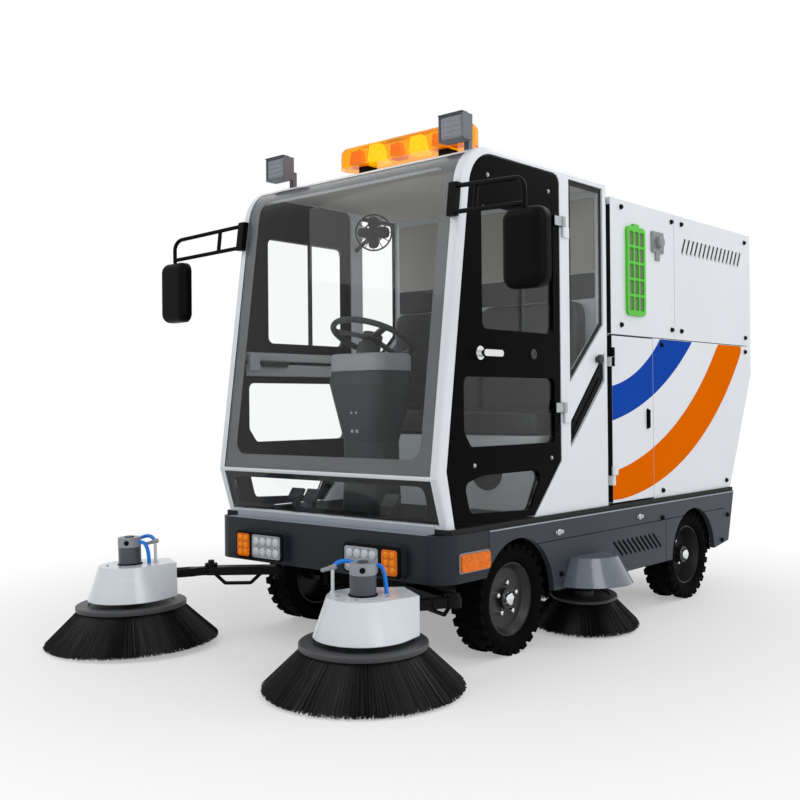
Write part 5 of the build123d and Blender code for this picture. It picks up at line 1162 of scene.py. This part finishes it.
for side, sign in SIDES:
    flank = flank_place(sign)
    skirt = flank_place(sign, HALF_SKIRT)
    for name, spots, half in (("panel_knobs", KNOBS, HALF_CAB), ("skirt_knobs", SKIRT_KNOBS, HALF_SKIRT)):
        copies(f"{name}_{side}", black_abs, [(x, sign * half, z) for x, z in spots], turned(KNOB_RINGS),
               outward(sign))
    bases = [(skirt, at, (0.062, 0.016), 0.004, BODY_FOOT, 0.005) for at in CATCHES]
    levers = [(skirt, (x + 0.010, z), (0.024, 0.026), 0.005, BODY_FOOT, 0.010, 0.003) for x, z in CATCHES]
    build(f"skirt_catches_{side}", zinc_steel, plates=bases + levers)
    build(f"quarter_latch_{side}", dark_abs, lathes=[
        (LATCH_RINGS, axis_place((LATCH_AT[0], sign * HALF_CAB, LATCH_AT[1]), (0, sign, 0)), 24)])
    hoods = [flank @ Matrix.Translation((LOUVRE_FIRST + k * LOUVRE_PITCH, LOUVRE_Z, 0)) @ LOUVRE_LEAN
             for k in range(LOUVRES)]
    build(f"louvre_hoods_{side}", white_enamel, stacks=[
        ([(LOUVRE_FOOT, BODY_FOOT), (LOUVRE_TOP, 0.006)], at) for at in hoods])
    build(f"louvre_mouths_{side}", black_abs, plates=[
        (at, (0.0085, 0), (0.009, 0.084), 0.003, BODY_FOOT, 0.0028, 0.0006) for at in hoods])
    build(f"grille_felt_{side}", filter_felt, plates=[
        (flank, (-0.436, 1.650), (0.160, 0.405), 0.014, 0.0003, 0.006)])
    build(f"service_handle_{side}", black_abs, f"service_{side}", plates=[
        (flank, HANDLE_AT, (0.024, 0.100), 0.010, BODY_FOOT, 0.004),
        (flank, HANDLE_AT, (0.012, 0.090), 0.005, 0.004, 0.015, 0.003)])
    build(f"quarter_vent_{side}", black_abs, stacks=[(layers, flank) for layers in vent_layers])
isolator_bolts = [(x, HALF_CAB + ISOLATOR_OUT, z) for x in ISOLATOR_X for z in ISOLATOR_Z]
copies("isolator_bolts", zinc_steel, isolator_bolts, hex_head(0.009, 0.005), outward(1))

# Hinges: light covers on the cab doors, dark sleeves on the upper service hinges; black edging of the body

HINGE_OUT = 0.652
HINGE_R = 0.009
HINGE_TALL = 0.043
HINGE_STEP = 0.045
SLEEVE = 0.0008
DOOR_HINGE_X = 0.205
DOOR_HINGES = (0.936, 1.740)
LEAF_X = 0.2435
LEAF = (0.056, 0.041)
LEAF_OUT = 0.008
SERVICE_HINGE = (-0.203, 1.190)
EDGE_Y = 0.6265
EDGE_WIDE = 0.028
BODY_FRONT = -0.210
# Foot, top and eased edge of thin covers
THIN = (0.0001, 0.0008, 0.0003)
SLEEVE_RINGS = [(HINGE_R + SLEEVE / 8, 0), (HINGE_R + SLEEVE, 0), (HINGE_R + SLEEVE, HINGE_TALL),
                (HINGE_R + SLEEVE / 8, HINGE_TALL)]
for side, sign in SIDES:
    leaf_face = flank_place(sign, HALF_CAB + LEAF_OUT)
    build(f"door_hinge_covers_{side}", light_grey_enamel, f"door_{side}",
          lathes=[(SLEEVE_RINGS, Matrix.Translation((DOOR_HINGE_X, sign * HINGE_OUT, z + HINGE_STEP)), 24)
                  for z in DOOR_HINGES],
          plates=[(leaf_face, (LEAF_X, z + HINGE_STEP + HINGE_TALL / 2), LEAF, 0.002, *THIN)
                  for z in DOOR_HINGES])
    # Name, body and height of each sleeve; name, body, front of the panel, foot and head of each edging
    sleeves = [("service_hinge_sleeve", "chassis", SERVICE_HINGE[1]),
               ("service_leaf_sleeve", f"service_{side}", SERVICE_HINGE[1] + HINGE_STEP)]
    edgings = [("body_edging", "chassis", BODY_FRONT, 1.346, 1.945),
               ("service_edging", f"service_{side}", PANEL_FRONT, 0.560, 1.334)]
    for name, body, z in sleeves:
        build(f"{name}_{side}", black_abs, body, lathes=[
            (SLEEVE_RINGS, Matrix.Translation((SERVICE_HINGE[0], sign * HINGE_OUT, z)), 24)])
    for name, body, face, low, high in edgings:
        build(f"{name}_{side}", seal_rubber, body, plates=[
            (front_place(face), (sign * EDGE_Y, (low + high) / 2), (EDGE_WIDE, high - low), 0.001, *THIN)])

# Mirrors: silvered glass on the back faces

MIRROR_X = 0.996
MIRROR_AT = (1.010, 1.567)
for side, sign in SIDES:
    mirror_at = (-sign * MIRROR_AT[0], MIRROR_AT[1])
    build(f"mirror_glass_{side}", silvering, plates=[
        (back_place(MIRROR_X), mirror_at, (0.158, 0.262), 0.036, -0.001, 0.0012, 0.0006)])

# Skirts: black liners in the rear arches, black backing of the slots, and a thin lighter shell on the hoods
# in the middle that paints sheen on them

LINER_R = 0.247
LINER_HOLE_R = 0.070
LINER_IN = 0.400
LINER_WIDE = 0.234
LINER = 0.002
LINER_WALL = [(LINER_R, 0), (LINER_R + LINER, 0), (LINER_R + LINER, LINER_WIDE), (LINER_R, LINER_WIDE)]
LINER_BACK = [(LINER_HOLE_R, -LINER), (LINER_R, -LINER), (LINER_R, 0), (LINER_HOLE_R, 0)]
MID_HOOD_X = 0.056
HOOD_FOOT_R = 0.198
HOOD_FOOT_Z = 0.235
HOOD_HEAD_R = 0.135
HOOD_HEAD_Z = 0.352
# Thin shell of lighter slate over each middle hood: painted sheen
SHEEN_SHELL = 0.0008
SHEEN_SHELL_FOOT = SHEEN_SHELL / 8
SHEEN_SHELL_MIDDLE = 0.001
SHEEN_SHELL_RINGS = [(SHEEN_SHELL_MIDDLE, HOOD_HEAD_Z + SHEEN_SHELL_FOOT), (HOOD_HEAD_R, HOOD_HEAD_Z + SHEEN_SHELL_FOOT),
              (HOOD_FOOT_R, HOOD_FOOT_Z), (HOOD_FOOT_R + SHEEN_SHELL, HOOD_FOOT_Z),
              (HOOD_HEAD_R + SHEEN_SHELL, HOOD_HEAD_Z + SHEEN_SHELL), (SHEEN_SHELL_MIDDLE, HOOD_HEAD_Z + SHEEN_SHELL)]
BACKING_Y = 0.6315
BACKING_AT = (-0.409, 0.346)
BACKING_SIZE = (0.540, 0.130)
for side, sign in SIDES:
    arch = flank_place(sign, LINER_IN) @ Matrix.Translation((REAR_AXLE_X, TYRE_R, 0))
    build(f"rear_arch_liner_{side}", black_abs, lathes=[
        (rings, arch, 32, pi) for rings in (LINER_WALL, LINER_BACK)])
    build(f"slot_backing_{side}", black_abs, plates=[
        (flank_place(sign, BACKING_Y), BACKING_AT, BACKING_SIZE, 0.010, 0.0, 0.004)])
    hood_at = Matrix.Translation((MID_HOOD_X, sign * (HALF_SKIRT + SHEEN_SHELL_FOOT), 0))
    half_turn = Matrix.Rotation(0 if sign > 0 else pi, 4, "Z")
    build(f"mid_hood_coat_{side}", slate_painted_sheen, lathes=[(SHEEN_SHELL_RINGS, hood_at @ half_turn, 48, pi)])

# Wheels: nuts, hub caps and rim beads

NUT_RINGS = [(0, 0), (0.0165, 0), (0.0165, 0.003), (0.0125, 0.004), (0.0125, 0.014), (0.009, 0.021),
             (0, 0.024)]
CAP_RINGS = [(0, 0.044), (0.030, 0.044), (0.030, 0.052), (0.024, 0.062), (0.012, 0.067), (0, 0.068)]
NUTS = 5
NUT_CIRCLE_R = 0.066
NUT_START = 0.3
BEAD = 0.004
BEAD_HIGH = 0.003
# Radius and distance from the wheel's middle of each bead
BEADS = ((0.144, 0.0555), (0.146, 0.047))
# Axle, its place, outer face of the disc from the wheel's middle
AXLES = (("front", FRONT_AXLE_X, 0.024), ("rear", REAR_AXLE_X, -0.018))
for side, sign in SIDES:
    for axle, axle_x, face in AXLES:
        body = f"wheel_{axle}_{side}"
        place = axis_place((axle_x, sign * WHEEL_Y, TYRE_R), (0, sign, 0))
        nuts = grown(RING, {"Count": NUTS, "Radius": NUT_CIRCLE_R, "Start": NUT_START, "Material": chrome},
                     copied=turned(NUT_RINGS, 12))
        nuts.transform(place @ Matrix.Translation((0, 0, face)))
        cap = turned(CAP_RINGS, 28)
        cap.transform(place)
        piece(f"nuts_{body}", join(nuts, cap), chrome, body)
        build(f"rim_beads_{body}", wheel_enamel, body, lathes=[
            ([(r, h), (r + BEAD, h), (r + BEAD, h + BEAD_HIGH), (r, h + BEAD_HIGH)], place, 56)
            for r, h in BEADS])

# Front units: motor caps, plugs, hood screws, hose fittings and hoses

HOOD_TOP = 0.329
MOTOR_TOP = 0.445
MOTOR_R = 0.048
HOSE_R = 0.008
POST_TOP = 0.418
FITTING_Z = 0.420
FITTING_BACK = 0.014
PLUG_DROP = 0.020
# Heights of the cap are from the motor's top, and those of the seal from the hood's top
MOTOR_CAP = [(0, -0.001), (MOTOR_R - 0.0015, -0.001), (MOTOR_R - 0.0015, -0.0405),
             (MOTOR_R + 0.0008, -0.0405), (MOTOR_R + 0.0008, -0.001), (MOTOR_R - 0.0018, 0.0012),
             (MOTOR_R - 0.010, 0.0012), (MOTOR_R - 0.011, 0.0003), (0, 0.0003)]
SEAL_RINGS = [(MOTOR_R - 0.001, -0.0005), (MOTOR_R + 0.006, -0.0005), (MOTOR_R + 0.005, 0.004),
              (MOTOR_R - 0.001, 0.006)]
PLUG_RINGS = [(0, 0), (0.0105, 0), (0.0105, 0.003), (0.008, 0.005), (0.004, 0.0035), (0, 0.0035)]
POST_RINGS = [(0, HOOD_TOP - 0.002), (0.011, HOOD_TOP - 0.002), (0.011, HOOD_TOP + 0.004),
              (0.0065, HOOD_TOP + 0.006), (0.0065, POST_TOP), (0, POST_TOP)]
FITTING_RINGS = [(0, 0), (0.0095, 0), (0.0095, 0.026), (0.0075, 0.028), (0.0075, 0.052), (0.0055, 0.058),
                 (0, 0.058)]
HOOD_SCREWS = [(0.02, -0.090, HOOD_TOP), (-0.09, -0.030, HOOD_TOP), (0.09, -0.030, HOOD_TOP)]
to_camera = Vector((0.75, 0.661, 0))
to_left = Vector((0.661, -0.75, 0))
fitting_run = (to_left * 0.93 + Vector((0, 0, -0.25))).normalized()
# The view's left, the way away from the viewer and up, as a turn
view_turn = Matrix((to_left, -to_camera, Vector((0, 0, 1)))).transposed().to_4x4()
# Side, fitting post from the motor along the view's left and away from it, then the points of each hose:
# along the left, away, and height
UNITS = [
    ("left", (0.112, 0.050), [
        [(0.004, 0.046, 0.418), (0.018, 0.074, 0.428), (0.060, 0.074, 0.440), (0.098, 0.062, 0.438),
         (0.112, 0.050, 0.418)],
        [(-0.012, 0.045, 0.416), (-0.040, 0.062, 0.426), (-0.068, 0.046, 0.424), (-0.080, 0.030, 0.384),
         (-0.084, 0.024, 0.329)],
    ]),
    ("right", (-0.104, 0.030), [
        [(-0.004, 0.046, 0.418), (-0.018, 0.074, 0.428), (-0.058, 0.068, 0.442), (-0.092, 0.046, 0.438),
         (-0.104, 0.030, 0.418)],
        [(-0.044, -0.012, 0.424), (-0.066, -0.016, 0.426), (-0.082, -0.020, 0.400), (-0.088, -0.022, 0.358),
         (-0.088, -0.022, 0.329)],
    ]),
]
for side, post, hoses in UNITS:
    place = brush_places[side]
    body = f"head_{side}"
    lean = Vector((0, 0, 1)).rotation_difference(place.to_3x3().col[2]).to_matrix().to_4x4()
    stand = Matrix.Translation(place.translation) @ lean @ view_turn
    build(f"motor_cap_{side}", motor_light, body, lathes=[
        (MOTOR_CAP, place @ Matrix.Translation((0, 0, MOTOR_TOP)), 48)])
    plug_at = stand @ Vector((0.0, -MOTOR_R + 0.0002, MOTOR_TOP - PLUG_DROP))
    build(f"motor_plug_and_seal_{side}", black_abs, body, lathes=[
        (PLUG_RINGS, axis_place(plug_at, to_camera), 20),
        (SEAL_RINGS, place @ Matrix.Translation((0, 0, HOOD_TOP)), 40)])
    screws = [stand @ Vector(at) for at in HOOD_SCREWS]
    copies(f"hood_screws_{side}", zinc_steel, screws, hex_head(0.010, 0.005), (0, 0, 0), body)
    post_foot = Matrix.Translation(stand @ Vector((*post, 0.0))) @ lean
    post_piece = build(f"hose_post_{side}", white_nylon, body, lathes=[(POST_RINGS, post_foot, 18)])
    start = stand @ Vector((*post, FITTING_Z)) - fitting_run * FITTING_BACK
    fitting = build(f"hose_fitting_{side}", motor_light, body, "grey_plastic", lathes=[
        (FITTING_RINGS, axis_place(start, fitting_run), 18)])
    for k, points in enumerate(hoses):
        line = bpy.data.curves.new(f"hose_{side}_{k}", "CURVE")
        line.dimensions = "3D"
        line.bevel_depth = HOSE_R
        line.bevel_resolution = 4
        line.use_fill_caps = True
        run = line.splines.new("NURBS")
        run.points.add(len(points) - 1)
        for control, point in zip(run.points, points):
            control.co = (*(stand @ Vector(point)), 1)
        run.order_u = 3
        run.use_endpoint_u = True
        run.resolution_u = 12
        line.materials.append(blue_pu)
        hose = put(f"hose_{side}_{k}", line)
        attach(hose, body)

# Rear: handle and latches on the hatch

HATCH_FOOT = (-1.502, 0.548)
HATCH_KINK = (-1.802, 1.180)
HANDLE_UP = 0.140
HANDLE_HALF = 0.090
LATCH_HALF = 0.480
hatch_up = heading(HATCH_FOOT, HATCH_KINK)
hatch_place = Matrix((
    (0, hatch_up[0], -hatch_up[1], HATCH_FOOT[0]), (-1, 0, 0, 0),
    (0, hatch_up[1], hatch_up[0], HATCH_FOOT[1]), (0, 0, 0, 1)))
hatch_parts = [(hatch_place, (0, HANDLE_UP), (0.240, 0.024), 0.010, 0.028, 0.046, 0.006)]
for side, sign in SIDES:
    hatch_parts += [
        (hatch_place, (sign * HANDLE_HALF, HANDLE_UP), (0.030, 0.030), 0.008, 0.0, 0.030, 0.004),
        (hatch_place, (sign * LATCH_HALF, 0.100), (0.050, 0.080), 0.010, 0.0, 0.010, 0.003),
        (hatch_place, (sign * LATCH_HALF, 0.105), (0.022, 0.050), 0.008, 0.010, 0.022, 0.004)]
build("hatch_handle_and_latches", black_abs, "hatch", plates=hatch_parts)
